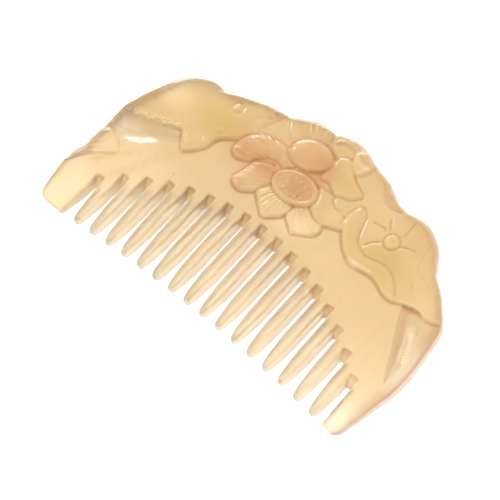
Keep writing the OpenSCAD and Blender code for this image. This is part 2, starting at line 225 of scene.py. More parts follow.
# Fans of ribs: centre, first and last angle in degrees, what part of the rib count they have, how far from
# the centre they start and reach, the mask that holds them, and their share of the rib depth, which is upward
# if it is negative.
RIB_FANS = [((-1, 47), 172, 236, 4, 4, 18, "petal", 1.2),
            ((-1, 48), 242, 325, 4, 4, 16, "petal", 1.6),
            ((-4, 50), 160, 196, 5, 6, 18, "petal", 1.8),
            ((-4.5, 57), 62, 145, 5, 6.5, 10.5, "leaf", 1.4),
            ((-64, 15), 34, 66, 9, 6, 13, "tail", -1.6)]
RIB_WIDTH = 0.45

# The small tools press in only what lies higher than this, and what they press in counts as hollow, which
# gets painted shade, by this share of its depth.
PRESSED_ABOVE = 3
HOLLOW_SHARE = 0.6

# Crumbs thrown up by a gouge: name, path, share of the nick spacing, share of the nick depth, and width.
NICKED_PATHS = [("gouge_line", [(-58.6, 35), (-56, 35.6), (-52.9, 36.6), (-49.8, 38.1), (-47.9, 39.2),
                                (-45.2, 39.2), (-42.9, 40.6), (-40.4, 41)], 1.1, -1.6, 0.9),
                ("leaf_edge", [(46.2, 38), (48.1, 38.6), (51, 39), (54, 38.6), (55.9, 39), (57.7, 39.3)],
                 0.8, -0.5, 0.5)]


def to_linear(code):
    """An sRGB hex colour as linear red, green, blue and alpha."""
    values = [int(code[k:k + 2], 16) / 255 for k in (1, 3, 5)]
    return (*(v / 12.92 if v <= 0.04045 else ((v + 0.055) / 1.055) ** 2.4 for v in values), 1.0)


def smoothstep(t):
    t = np.clip(t, 0, 1)
    return t * t * (3 - 2 * t)


def smooth_curve(points, closed=False, steps=6):
    """A smooth curve through points, as rows of x and y."""
    p = np.array(points, float)
    if closed:
        rows = np.concatenate([p[-1:], p, p[:2]])
    else:
        rows = np.concatenate([2 * p[:1] - p[1:2], p, 2 * p[-1:] - p[-2:-1]])
    t = np.arange(steps)[:, None] / steps
    spans = [0.5 * (2 * b + (c - a) * t + (2 * a - 5 * b + 4 * c - d) * t**2 + (3 * b - a - 3 * c + d) * t**3)
             for a, b, c, d in zip(rows, rows[1:], rows[2:], rows[3:])]
    return np.concatenate(spans if closed else spans + [p[-1:]])


def evenly(points, spacing):
    """The same path with its points about a spacing apart."""
    run = np.r_[0, np.cumsum(np.hypot(*np.diff(points, axis=0).T))]
    at = np.linspace(0, run[-1], max(2, round(run[-1] / spacing) + 1))
    return np.c_[np.interp(at, run, points[:, 0]), np.interp(at, run, points[:, 1])]


def oval(middle, half, turn, count=64):
    a = np.arange(count) * 2 * math.pi / count
    c, s = math.cos(math.radians(turn)), math.sin(math.radians(turn))
    x, y = half[0] * np.cos(a), half[1] * np.sin(a)
    return np.c_[middle[0] + x * c - y * s, middle[1] + x * s + y * c]


def spans_from(px, py, path, closed):
    """Squared distances from a path, and whether each point lies inside it when it is closed."""
    best = np.full(px.shape, 1e9)
    inside = np.zeros(px.shape, bool)
    ends = np.roll(path, -1, 0) if closed else path[1:]
    for (ax, ay), (bx, by) in zip(path, ends):
        dx, dy = bx - ax, by - ay
        t = np.clip(((px - ax) * dx + (py - ay) * dy) / (dx * dx + dy * dy + 1e-12), 0, 1)
        best = np.minimum(best, (px - ax - t * dx) ** 2 + (py - ay - t * dy) ** 2)
        if closed and ay != by:
            inside ^= ((ay > py) != (by > py)) & (px < ax + (py - ay) * dx / dy)
    return best, inside


class Relief:
    """Heights of the comb's face on a fine grid, in millimetres, with masks for what lies where."""

    LOW = (-66, -3)
    HIGH = (63, 71)
    STEP = 0.125

    def __init__(self, face):
        x, y = (np.arange(a, b, self.STEP) for a, b in zip(self.LOW, self.HIGH))
        self.x, self.y = np.meshgrid(x, y)
        self.z = face(self.y)
        self.masks = {}

    def window(self, points, margin):
        low = np.floor((points.min(0) - margin - self.LOW) / self.STEP).astype(int).clip(0)
        high = np.ceil((points.max(0) + margin - self.LOW) / self.STEP).astype(int) + 1
        return slice(low[1], high[1]), slice(low[0], high[0])

    def from_edge(self, loop, margin=1.5):
        """A window round a closed outline, and distances from it that are positive inside."""
        w = self.window(loop, margin)
        best, inside = spans_from(self.x[w], self.y[w], loop, True)
        return w, np.where(inside, 1, -1) * np.sqrt(best)

    def from_path(self, path, margin):
        w = self.window(path, margin)
        return w, np.sqrt(spans_from(self.x[w], self.y[w], path, False)[0])

    def lay(self, loop, form, groove=0.0, soft=0.16, mask=None, merge=False):
        """Lays a shape over what is there; form gives its height at a distance from its edge. A merging shape
        only fills up to its height, and leaves what stands higher."""
        w, d = self.from_edge(loop)
        cover = smoothstep((d + soft) / (2 * soft))
        height = form(d.clip(0))
        if merge:
            height = np.maximum(height, self.z[w])
        self.z[w] = self.z[w] * (1 - cover) + height * cover
        self.z[w] -= groove * np.exp(-((d + 0.28) / 0.26) ** 2)
        for name, values in self.masks.items():
            values[w] *= 1 - cover
            if name == mask:
                values[w] += cover

    def cut(self, path, depth, width, fade=1.5):
        """Cuts a groove along a path that runs out at both its ends."""
        path = evenly(smooth_curve(path), 0.5)
        w, d = self.from_path(path, 3 * width)
        ends = np.minimum(np.hypot(self.x[w] - path[0, 0], self.y[w] - path[0, 1]),
                          np.hypot(self.x[w] - path[-1, 0], self.y[w] - path[-1, 1]))
        self.z[w] -= depth * np.exp(-(d / width) ** 2) * smoothstep(0.15 + ends / fade)

    def swell(self, middle, radii, height, turn=0):
        """Adds a soft swelling, or with a height below nothing a soft dip."""
        c, s = math.cos(math.radians(turn)), math.sin(math.radians(turn))
        x, y = self.x - middle[0], self.y - middle[1]
        self.z += height * np.exp(-((x * c + y * s) / radii[0]) ** 2 - ((y * c - x * s) / radii[1]) ** 2)

    def mark(self, name, path, width, strength=1.0):
        """Adds a soft stripe along a path to a mask."""
        w, d = self.from_path(evenly(smooth_curve(path), 0.5), 3 * width)
        self.masks[name][w] = np.maximum(self.masks[name][w], strength * np.exp(-(d / width) ** 2))

    def blurred(self, values, sigma):
        """Values made even over a distance in millimetres."""
        fy = np.fft.fftfreq(values.shape[0], self.STEP)[:, None]
        fx = np.fft.rfftfreq(values.shape[1], self.STEP)[None]
        return np.fft.irfft2(np.fft.rfft2(values) * np.exp(-2 * (math.pi * sigma) ** 2 * (fx**2 + fy**2)),
                             values.shape)

    def at(self, values, x, y):
        """Values at any points, between the grid's own."""
        u = ((x - self.LOW[0]) / self.STEP).clip(0, values.shape[1] - 1.001)
        v = ((y - self.LOW[1]) / self.STEP).clip(0, values.shape[0] - 1.001)
        i, j = u.astype(int), v.astype(int)
        u, v = u - i, v - j
        return ((values[j, i] * (1 - u) + values[j, i + 1] * u) * (1 - v)
                + (values[j + 1, i] * (1 - u) + values[j + 1, i + 1] * u) * v)


def rounded(low, high, shoulder, bead=0.0, dish=0.0, power=0.5):
    """The form of a raised shape with a rounded shoulder, a bead along its edge and a dish inside it. The
    higher the power, the gentler the shoulder starts."""
    def form(d):
        t = np.clip(d / shoulder, 0, 1)
        z = low + (high - low) * (1 - (1 - t) ** 2) ** power
        return z + bead * np.exp(-((d - 0.75) / 0.45) ** 2) - dish * smoothstep((d - 0.8) / 2.5)
    return form


def carve_scoop(relief, shape, path, left, right, depths, soft, power=2):
    """Cuts a channel whose section is a curve with unlike halves, down into whatever stands there."""
    path = evenly(smooth_curve(path), 0.5)
    w = relief.window(path, 7)
    x, y = relief.x[w], relief.y[w]
    best, along, off = np.full(x.shape, 1e9), np.zeros(x.shape), np.zeros(x.shape)
    for k, ((ax, ay), (bx, by)) in enumerate(zip(path, path[1:])):
        dx, dy = bx - ax, by - ay
        length = math.hypot(dx, dy)
        t = np.clip(((x - ax) * dx + (y - ay) * dy) / length**2, 0, 1)
        reach = np.hypot(x - ax - t * dx, y - ay - t * dy)
        nearer = reach < best
        best[nearer] = reach[nearer]
        along[nearer] = (k + t[nearer]) / (len(path) - 1)
        off[nearer] = ((dx * (y - ay) - dy * (x - ax)) / length)[nearer]
    steps = np.linspace(0, 1, len(depths))
    side = 0.5 + 0.5 * off / np.maximum(best, 0.01)
    half = np.interp(along, steps, left) * side + np.interp(along, steps, right) * (1 - side)
    depth = np.interp(along, steps, depths) * shape.scoop_depth / (SCOOP_DEPTH * MM)
    blend = soft[0] * side + soft[1] * (1 - side)
    floor = shape.plate_height / MM - depth * (1 - (best / half) ** power)
    share = np.clip(0.5 + (relief.z[w] - floor) / (2 * blend), 0, 1)
    relief.z[w] = relief.z[w] * (1 - share) + floor * share - blend * share * (1 - share)
    relief.masks["scoop"][w] = np.maximum(relief.masks["scoop"][w], share)


def carve_fish(relief, shape):
    top = shape.fish_height / MM
    relief.lay(smooth_curve(FISH, True), rounded(6.45, top, 6.5), groove=0.05, soft=0.3, mask="fish")
    carve_scoop(relief, shape, **LEFT_SCOOP)
    relief.lay(smooth_curve(FISH_FIN, True), rounded(5.9, 7, 2.6), soft=0.25, mask="fish", merge=True)
    # The belly rolls over a low step behind the fin.
    relief.cut([(-24.9, 48.4), (-27.4, 46.6), (-29.6, 44.6), (-30.4, 42.6)], 0.16, 0.4)
    relief.cut([(-33.4, 43), (-32.4, 41.6), (-31.4, 40.4)], -0.25, 0.3)
    relief.cut([(-38.5, 37.6), (-37.3, 36.2), (-36, 34.8)], -0.28, 0.4, fade=0.8)
    # Scales on the flank, the eye, and dimples left by a round tool.
    for groove in ([(-54.9, 48.6), (-53, 47.6), (-50.3, 47)], [(-57.3, 43.8), (-55, 42.9), (-52.4, 42.6)],
                   [(-59.2, 38.9), (-56.6, 38.4), (-54, 38.5)]):
        relief.cut(groove, 0.12, 0.5)
    for middle, radius, depth in (((-31.4, 55.2), 1.7, 0.26), ((-23, 55.3), 1.6, 0.12),
                                  ((-22, 59.4), 1.4, 0.14), ((-30.7, 47), 1.4, 0.16),
                                  ((-12, 62.4), 1.4, 0.12)):
        reach = np.hypot(relief.x - middle[0], relief.y - middle[1])
        relief.z -= depth * np.exp(-((reach - radius) / 0.4) ** 2)
        relief.z += depth * 0.8 * np.exp(-(reach / (0.6 * radius)) ** 2)
    relief.lay(smooth_curve(TAIL_FIN, True), rounded(5.5, 6.1, 2.2), groove=0.1, soft=0.25, mask="tail")


def carve_lotus(relief, shape):
    top = shape.petal_height / MM
    leaf = rounded(6.6, top, 2.6, bead=0.1, dish=0.1)
    relief.lay(smooth_curve(RIBBED_LEAF, True), rounded(6.5, top, 4.5), groove=0.03, soft=0.5, mask="leaf")
    relief.lay(smooth_curve(CROWN_LEAF, True), rounded(6.5, top - 0.1, 3.6), groove=0.04, soft=0.5)
    relief.cut([(-3.1, 66.6), (-2.9, 65), (-2.3, 63)], 0.35, 0.9)
    relief.lay(smooth_curve(LEAF_BEHIND, True), leaf, groove=0.3)
    relief.lay(smooth_curve(CURLED_LEAF, True), rounded(6.5, top, 1.8, bead=0.2, dish=0.45), groove=0.05,
               soft=0.3)
    # The curled leaf's upper border rolls round inside the crown.
    relief.cut([(-0.9, 63.6), (0.6, 65.4), (3.4, 66), (6.3, 65.8), (9.3, 65), (12, 63.4), (12.6, 61.6)],
               -0.3, 0.5)
    relief.cut([(-1.6, 62.2), (1.6, 64.4), (5.6, 64.4), (8.6, 63.2), (10.6, 61.4)], 0.15, 0.6)
    petal = rounded(5.8, top, 4.2, bead=0.14, dish=0.05, power=0.62)
    for border in (PETAL_FAR_LEFT, PETAL_LEFT, PETAL_RIGHT):
        relief.lay(smooth_curve(border, True), petal, groove=0.22, mask="petal")
    for border in (PETAL_FAR_RIGHT, PETAL_FRONT):
        relief.lay(smooth_curve(border, True), rounded(5.85, top + 0.1, 4.2, bead=0.14, dish=0.05, power=0.6),
                   groove=0.22, mask="petal")
    # Folds where the petals meet beside the pod, and the far petals' inner lines.
    relief.cut([(-20.5, 44.6), (-17.4, 45.4), (-14.6, 47.3), (-9.4, 48.8)], 0.55, 0.6)
    relief.cut([(-24, 45), (-20.1, 45.4), (-17.1, 46.6)], 0.2, 0.35)
    relief.cut([(-21.6, 51), (-18.6, 52.6), (-15.6, 53.4)], -0.2, 0.4)
    relief.cut([(-9.6, 47.4), (-8.6, 45.6), (-6.6, 43.4)], 0.3, 0.5)
    # The bud is a smooth dome. The pod has a rim round a hollow where its seeds sit.
    relief.lay(oval(**BUD), rounded(6.5, shape.bud_height / MM, 0.66 * min(BUD["half"])), groove=0.2)
    low, high = POD_HEIGHTS
    relief.lay(oval(**POD), lambda d: low + (high - low) * np.sqrt(1 - (1 - (d / 1.1).clip(0, 1)) ** 2)
               - 0.35 * smoothstep((d - 0.9) / 0.9), groove=0.25, mask="pod")
    relief.cut([(0.5, 61.6), (2.9, 60.2), (3.6, 57.6), (2, 54.4), (-1.5, 52.2)], 0.35, 0.45)


def carve_flower(relief, shape):
    top = shape.petal_height / MM
    at = np.array(SMALL_FLOWER)
    relief.swell((36, 55), (7.5, 4.5), 0.45, turn=-25)
    relief.swell((28.6, 54.6), (4, 3), 0.3, turn=20)
    relief.swell((31.6, 46.2), (4, 1.8), 0.4, turn=20)
    relief.swell((39, 49), (5, 3), 0.25, turn=-30)
    relief.swell((51.5, 43), (5.5, 3.2), 0.5, turn=-30)
    for groove in FLOWER_GROOVES:
        relief.cut(groove, 0.6, 0.34, fade=2)
    relief.cut([(27.2, 43.9), (28.4, 45.9), (30.3, 47.4), (31.9, 47.7)], -0.12, 0.6)
    # The stem winds down beside the lotus as a flat ribbon and rolls out along the band's lower border.
    relief.lay(smooth_curve(STEM, True), rounded(6.1, top, 2.4), groove=0.28, soft=0.2)
    relief.cut([(25.6, 40.2), (28.6, 39.8), (31, 39.9), (34.6, 40.1)], -0.2, 0.3, fade=0.8)
    relief.cut([(46.2, 38.6), (48.6, 39.1), (51, 39.7), (54, 39.1), (55.9, 39.4), (57.7, 40.1)], -0.15, 0.3)
    for groove, depth in (([(41, 57.9), (41.9, 55.4), (42.4, 51.4), (44.1, 48.4), (47.3, 47.1),
                            (50.2, 46.2)], 0.25),
                          ([(44.8, 45.2), (46, 43.6), (47.4, 42.2)], 0.2),
                          ([(39.4, 50.4), (43.4, 46.6), (46.4, 43.4)], 0.12),
                          ([(19.8, 62.8), (20.3, 61.2), (23.6, 58.2), (27.4, 58.2), (30, 59.4)], 0.3),
                          ([(15.4, 56.6), (18, 54.6), (20.4, 52.9)], 0.16)):
        relief.cut(groove, depth, 0.5)
    # The button stands over the petals in its own groove.
    reach = np.hypot(relief.x - at[0], relief.y - at[1])
    relief.z -= 0.4 * np.exp(-((reach - BUTTON_RADIUS - 0.2) / 0.4) ** 2)
    dome = top - 0.3 + 0.45 * np.sqrt((1 - (reach / BUTTON_RADIUS) ** 2).clip(0))
    cover = smoothstep((BUTTON_RADIUS - reach + 0.1) / 0.3)
    relief.z = relief.z * (1 - cover) + np.maximum(relief.z, dome) * cover


def carve_relief(shape):
    """The whole face of the comb, from the plain plate to the finished carving."""
    plate = shape.plate_height / MM
    relief = Relief(lambda y: np.interp(y, THIN_ALONG, [min(z, plate) for z in THIN_FACE]))
    # The window mask holds the painted highlight stripes.
    for name in ("scoop", "fish", "tail", "leaf", "petal", "pod", "chatter", "window", "vein"):
        relief.masks[name] = np.zeros_like(relief.z)
    carve_scoop(relief, shape, **RIGHT_SCOOP)
    border = np.concatenate([smooth_curve(BAND_BORDER), [(-80, 32.4), (-80, 90), (80, 90), (80, 40.8)]])
    w, d = relief.from_edge(border)
    cover = smoothstep((d + 0.3) / 0.6)
    relief.z[w] = relief.z[w] * (1 - cover) + (shape.band_height / MM) * cover
    relief.masks["scoop"][w] *= 1 - cover
    carve_fish(relief, shape)
    carve_lotus(relief, shape)
    carve_flower(relief, shape)
    for name, paths in (("chatter", CHATTER), ("vein", VEINS)):
        for path, width in paths:
            relief.mark(name, path, width)
    # Painted highlight stripes.
    for path, width, strength in PAINTED_HIGHLIGHTS:
        relief.mark("window", path, width, strength)
    # The carving is polished soft; only the scoops keep crisp edges.
    crisp = smoothstep(4 * relief.blurred(relief.masks["scoop"], 0.5))
    relief.z = relief.blurred(relief.z, 0.1) * crisp + relief.blurred(relief.z, 0.2) * (1 - crisp)
    return relief


def tooth_half(d):
    """Half the width of a tooth at a distance from its tip."""
    tip = TIP_HALF * np.sqrt(1 - (1 - np.clip(d / TIP_LENGTH, 0, 1)) ** 2)
    return np.where(d < TIP_LENGTH, tip, np.interp(d, TOOTH_DISTANCES, TOOTH_HALVES))


def gap_middle(i):
    return (i - TOOTH_COUNT / 2) * PITCH


def root_y(x):
    return ROOT_Y - ROOT_RADIUS + math.sqrt(ROOT_RADIUS**2 - x * x)


def tip_y(k):
    u = 2 * abs(k - (TOOTH_COUNT - 1) / 2) / (TOOTH_COUNT - 1)
    return TIP_RISE * (1 - u * u)


def gap_side(i, side):
    """One side of a gap, from the comb's tips up to the corner at its root, and where its low end is."""
    x = gap_middle(i)
    top = root_y(x) - GAP_FILLET
    if (i, side) in ((0, -1), (TOOTH_COUNT, 1)):
        lean = 1 if side < 0 else 0
        guard = [(lean + 1, -0.5), (lean + 0.3, -0.1), (lean, 0.8), (lean / 2, 6), (0, 11), (0, top)]
        points = smooth_curve([(x + side * (GAP_WIDTH / 2 + u), v) for u, v in guard], steps=12)
        return evenly(points, 0.45), 0.8
    k = i - 1 if side < 0 else i
    low = tip_y(k)
    d = np.concatenate([TIP_LENGTH * (1 - np.cos(np.radians(np.arange(0, 90, 12)))),
                        np.linspace(TIP_LENGTH, top - low, 40)])
    middle = x + side * PITCH / 2
    return np.c_[middle - side * tooth_half(d), low + d], low


def edge_stations(shape):
    """The comb's whole outline, anticlockwise, with how its edges are rounded there. A row holds x, y, the
    back's y, the inset and drop of the face's edge, the inset and rise of the back's edge, and the painted
    tones:
    shade on the rim, light on a tooth's side wall, shade on a gap's end wall and shade on the foot, the
    back's edge."""
    soft, runs = shape.edge_rounding / (EDGE_ROUNDING * MM), []

    def run(points, back_y, face, back, tones):
        rows = np.empty((len(points), 11))
        rows[:, :2], rows[:, 2] = points, back_y
        rows[:, 3:5], rows[:, 5:7], rows[:, 7:] = face, back, tones
        rows[:, 3:7] *= soft
        runs.append(rows)

    corner = np.radians(np.linspace(0, 90, 6))
    for i in range(TOOTH_COUNT + 1):
        x = gap_middle(i)
        root = root_y(x)
        for side in (-1, 1):
            points, low = gap_side(i, side)
            share = (root - low - ROOT_SLANT) / (root - low)
            back_y = np.where(points[:, 1] > low, low + (points[:, 1] - low) * share, points[:, 1])
            tip = smoothstep((2.5 - (points[:, 1] - low)) / 2)[:, None]
            near_root = smoothstep((4.2 - (root - points[:, 1])) / 3)[:, None]
            # An edge's brown is painted shade. A tooth's side wall is painted pale as if lit from below, and
            # near the root the end wall's painted shade takes over.
            wide, deep, brown = TOOTH_RIGHT_EDGE if side < 0 else TOOTH_LEFT_EDGE
            tones = np.concatenate([brown + (TIP_EDGE[2] - brown) * tip, 1 - near_root * 0.6, near_root * 0.6,
                                    0.35 - 0.3 * brown + brown * tip], 1)
            rounding = np.concatenate([wide + (TIP_EDGE[0] - wide) * tip, deep + (TIP_EDGE[1] - deep) * tip,
                                       0.6 - 0.05 * tip, 0.6 + 0.7 * tip], 1)
            rows = np.concatenate([points, back_y[:, None], rounding * soft, tones], 1)
            if side < 0:
                runs.append(rows)
                arc = np.c_[GAP_FILLET - GAP_FILLET * np.cos(corner), GAP_FILLET * np.sin(corner)]
                left = arc + (x - GAP_WIDTH / 2, root - GAP_FILLET)
                right = arc[::-1] * (-1, 1) + (x + GAP_WIDTH / 2, root - GAP_FILLET)
                end = np.concatenate([left, np.linspace(left[-1], right[0], 6)[1:-1], right])
                # The gap's end gets the full painted shade of an end wall.
                run(end, end[:, 1] - ROOT_SLANT, (0.6, 0.6), (0.6, 0.6), (0.15, 0.1, 1, 0.1))
            else:
                runs.append(rows[::-1])
    bottom_right = evenly(smooth_curve([(52.3, -0.5), OUTLINE["right_flank"][-1]]), 0.4)
    run(bottom_right, bottom_right[:, 1], *GUARD_END)
    for name in reversed(OUTLINE):
        points = evenly(smooth_curve(OUTLINE[name][::-1]), 0.32)
        share = np.sin(np.linspace(0, math.pi, len(points)))[:, None] ** 0.6
        middle = np.array(LOBE_EDGES[name])
        ends = np.minimum(middle, (1.1, 1.2))
        # How much painted shade each lobe's rim gets.
        rim = {"right_flank": 1.2, "tail": 0.25}.get(name, 0.8)
        # Painted shade: only the right side's foot is brown; on the left it would show through the clear
        # horn.
        foot, back = (1.2, 0.8) if name in ("right_flank", "flower", "saddle") else (0.1, 0.4)
        run(points, points[:, 1], ends + (middle - ends) * share, (back, back), (rim, 0, 0, foot))
    bottom_left = evenly(smooth_curve([OUTLINE["left_guard"][0], (-53.4, -0.5)]), 0.4)
    run(bottom_left, bottom_left[:, 1], *GUARD_END)
    rows = np.concatenate(runs)
    rows = rows[np.hypot(*(rows[:, :2] - np.roll(rows[:, :2], 1, 0)).T) > 0.02]
    for _ in range(6):
        rows[:, 3:] = (np.roll(rows[:, 3:], 1, 0) + 2 * rows[:, 3:] + np.roll(rows[:, 3:], -1, 0)) / 4
    return rows


def outward(xy, rounds):
    """Directions that point out of a closed anticlockwise outline, made even along it."""
    ahead = np.roll(xy, -1, 0) - np.roll(xy, 1, 0)
    n = np.c_[ahead[:, 1], -ahead[:, 0]] / np.hypot(*ahead.T)[:, None]
    for _ in range(rounds):
        n = (np.roll(n, 1, 0) + 2 * n + np.roll(n, -1, 0)) / 4
    return n / np.hypot(*n.T)[:, None]


def filled(loop, inner):
    """Triangles that fill a closed outline and have the inner points as corners, all facing up."""
    count = len(loop)
    points = [Vector(p) for p in np.concatenate([loop, inner])]
    edges = [(i, (i + 1) % count) for i in range(count)]
    _, _, faces, came_from, _, _ = delaunay_2d_cdt(points, edges, [], 1, 1e-6)
    if any(not rows for rows in came_from):
        raise RuntimeError("the comb's outline crosses itself")
    first = np.array([rows[0] for rows in came_from])
    faces = first[np.array(faces)]
    xy = np.concatenate([loop, inner])[faces]
    u, v = xy[:, 1] - xy[:, 0], xy[:, 2] - xy[:, 0]
    turned = u[:, 0] * v[:, 1] - u[:, 1] * v[:, 0] < 0
    faces[turned] = faces[turned][:, ::-1]
    return faces


def lattice(spacing, coarsest, wanted):
    """Points of a staggered lattice over the comb. A point on a coarser lattice is always kept, and one on a
    finer lattice where the function wanted asks for that spacing."""
    low, high = Relief.LOW, Relief.HIGH
    rows = np.arange(int((high[1] - low[1]) / (spacing * 0.866)))
    columns = np.arange(int((high[0] - low[0]) / spacing))
    i, j = (a.ravel() for a in np.meshgrid(columns, rows))
    x = low[0] + (i + 0.5 * (j % 2)) * spacing
    y = low[1] + j * spacing * 0.866
    level = np.zeros(len(x), int)
    for k in range(1, coarsest + 1):
        level[(i % 2**k == 0) & (j % 2**k == 0)] = k
    return np.c_[x, y][level >= wanted(x, y)]


def nearest_of(points):
    """A tree that finds which of some flat points is nearest."""
    tree = KDTree(len(points))
    for k, p in enumerate(points):
        tree.insert((*p, 0), k)
    tree.balance()
    return tree


def kept_inside(points, clearance, loop):
    """Only the points inside an outline and clear of it."""
    inside = np.zeros(len(points), bool)
    for (ax, ay), (bx, by) in zip(loop, np.roll(loop, -1, 0)):
        if ay != by:
            rows = (ay > points[:, 1]) != (by > points[:, 1])
            inside[rows] ^= points[rows, 0] < ax + (points[rows, 1] - ay) * (bx - ax) / (by - ay)
    tree = nearest_of(loop)
    near = np.array([tree.find((*p, 0))[2] if k else 0 for p, k in zip(points, inside)])
    return points[inside & (near > clearance)]


def comb_mesh(shape, relief):
    """One closed mesh: the carved face, the rounded edges and walls, and the flat back."""
    rows = edge_stations(shape)
    xy, back_xy = rows[:, :2], rows[:, [0, 2]]
    out, back_out = outward(xy, 5), outward(back_xy, 5)
    count = len(rows)
    face_z = relief.at(relief.z, *(xy - out * rows[:, 3:4]).T)
    back_z = np.interp(rows[:, 2], THIN_ALONG, THIN_BACK)
    rings, tones = [], []
    turns = np.radians(np.linspace(0, 90, 6))
    # Wide edges are cut flat like a facet, narrow ones are rounded over.
    facet = 0.75 * smoothstep(rows[:, 3] - 1.1)
    for a in turns:
        t = a / turns[-1]
        inward = rows[:, 3] * ((1 - math.sin(a)) * (1 - facet) + (1 - t) * facet)
        down = rows[:, 4] * ((1 - math.cos(a)) * (1 - facet) + t * facet)
        rings.append(np.c_[xy - out * inward[:, None], face_z - down])
        # The tones paint shade along the rim, the end walls and the foot, and light on the side walls.
        tones.append(np.c_[rows[:, 7] * (0.15 + 0.85 * math.sin(a) ** 4 + 0.4 * facet),
                           rows[:, 8] * max(0, math.sin(a) - 0.7) * 2,
                           rows[:, 9] * smoothstep(2 * math.sin(a))])
    top, low = rings[-1], np.c_[back_xy, back_z + rows[:, 6]]
    for t in (0.4, 0.85, 1):
        rings.append(top + (low - top) * t)
        tones.append(np.c_[rows[:, 10] * (0.55 if t < 1 else 1), rows[:, 8], rows[:, 9]])
    for a in turns[1::2]:
        ring = back_xy - back_out * rows[:, 5:6] * (1 - math.cos(a))
        rings.append(np.c_[ring, back_z + rows[:, 6] * (1 - math.sin(a))])
        tones.append(np.c_[rows[:, 10] * math.cos(a), rows[:, 8] * 0.5, rows[:, 9] * 0.5])
    # The lattice is fine where the carving bends, and wide where the face is plain.
    bend = np.abs(relief.blurred(relief.z, 0.25) - relief.z)
    for name, mask in relief.masks.items():
        if name != "vein":
            bend = np.maximum(bend, mask * MASK_BEND)
    bend = np.sqrt(relief.blurred(bend**2, 0.5).clip(0))
    spacing, coarsest = shape.mesh_spacing / MM, len(BEND_LIMITS)

    def wanted(x, y):
        return coarsest - (relief.at(bend, x, y)[:, None] > np.array(BEND_LIMITS)).sum(1)

    inner = kept_inside(lattice(spacing, coarsest, wanted), 0.6 * spacing, rings[0][:, :2])
    face = filled(rings[0][:, :2], inner)
    back_inner = kept_inside(lattice(BACK_SPACING, 0, lambda x, y: 0), 0.5, rings[-1][:, :2])
    back = filled(rings[-1][:, :2], back_inner)
    ring_points = np.concatenate(rings)
    inner_points = np.c_[inner, relief.at(relief.z, *inner.T)]
    back_points = np.c_[back_inner, np.interp(back_inner[:, 1], THIN_ALONG, THIN_BACK)]
    start, back_start = len(ring_points), len(ring_points) + len(inner_points)
    face = np.where(face < count, face, face - count + start)
    last = (len(rings) - 1) * count
    back = np.where(back < count, back + last, back - count + back_start)[:, ::-1]
    i = np.arange(count)
    j = (i + 1) % count
    walls = [np.c_[k + i, k + i + count, k + j + count, k + j] for k in np.arange(len(rings) - 1) * count]
    points = np.concatenate([ring_points, inner_points, back_points])
    # Painted shade: the rim's brown fades in over the face.
    tree = nearest_of(xy)
    near = [tree.find((*p, 0))[1:] for p in inner]
    nearest, gap = np.array([n[0] for n in near]), np.array([n[1] for n in near])
    fade = np.exp(-((gap - rows[nearest, 3]) / 0.6).clip(0))
    inner_tones = np.c_[rows[nearest, 7] * 0.15 * fade, gap * 0, gap * 0]
    tones = np.concatenate(tones + [inner_tones, np.zeros((len(back_points), 3))])
    mesh = bpy.data.meshes.new("carved_comb")
    middle = (xy.min(0) + xy.max(0)) / 2
    low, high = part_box("comb")
    place = np.array([(low.x + high.x) / 2, (low.y + high.y) / 2, low.z])
    vertices = (points - (*middle, 0)) * MM + place
    faces = face.tolist() + back.tolist() + np.concatenate(walls).tolist()
    mesh.from_pydata(vertices.tolist(), [], faces)
    mesh.validate()
    mesh.shade_smooth()
    # How hollow each place is: the finish paints shade into the hollows and a highlight on what stands high.
    hollow = relief.blurred(relief.z, 0.6) - relief.z
    on_face = np.zeros(len(points), bool)
    on_face[:3 * count] = True
    on_face[start:back_start] = True
    values = {"rim": tones[:, 0], "wall": tones[:, 1], "end_wall": tones[:, 2],
              "hollow": np.where(on_face, relief.at(hollow, *points[:, :2].T), 0)}
    for name, mask in relief.masks.items():
        values[name] = np.where(on_face, relief.at(mask, *points[:, :2].T), 0)
    values["everywhere"] = on_face * 1.0
    # Teeth lie below the arc of the gaps' ends, between the two guards.
    under = ROOT_Y - ROOT_RADIUS + np.sqrt(ROOT_RADIUS**2 - points[:, 0] ** 2) - points[:, 1]
    values["tooth"] = smoothstep((under - 1) / 8) * smoothstep((52.5 - np.abs(points[:, 0])) / 1.5)
    # The rim is milkier than the face, so its dark foot doesn't show through.
    flank = smoothstep((rows[:, 1] - 3) / 3) * (np.abs(rows[:, 0]) > 53)
    lobe = np.where(rows[:, 0] > 0, CLOUDY_RIGHT, CLOUDY_LEFT) * flank
    lobe = np.maximum(lobe, CLOUDY_TOP * (rows[:, 1] > 38))
    by_rim = np.concatenate([np.tile(lobe, len(rings)),
                             lobe[nearest] * np.exp(-((gap - rows[nearest, 3]) / 1.2).clip(0)),
                             np.zeros(len(back_points))])
    values["cloudy"] = np.maximum(by_rim, values["tooth"])
    for name, value in values.items():
        mesh.attributes.new(name, "FLOAT", "POINT").data.foreach_set("value", value.astype(np.float32))
    return mesh, Vector(place - np.array([*middle, 0]) * MM)


def add(tree, kind, inputs=(), **settings):
    """Adds a node with its settings, and sets or links its inputs."""
    node = tree.nodes.new(kind)
    for name, value in settings.items():
        setattr(node, name, value)
    for key, value in dict(inputs).items():
        socket = node.inputs[key]
        if isinstance(value, bpy.types.NodeSocket):
            tree.links.new(value, socket)
        else:
            socket.default_value = value
    return node


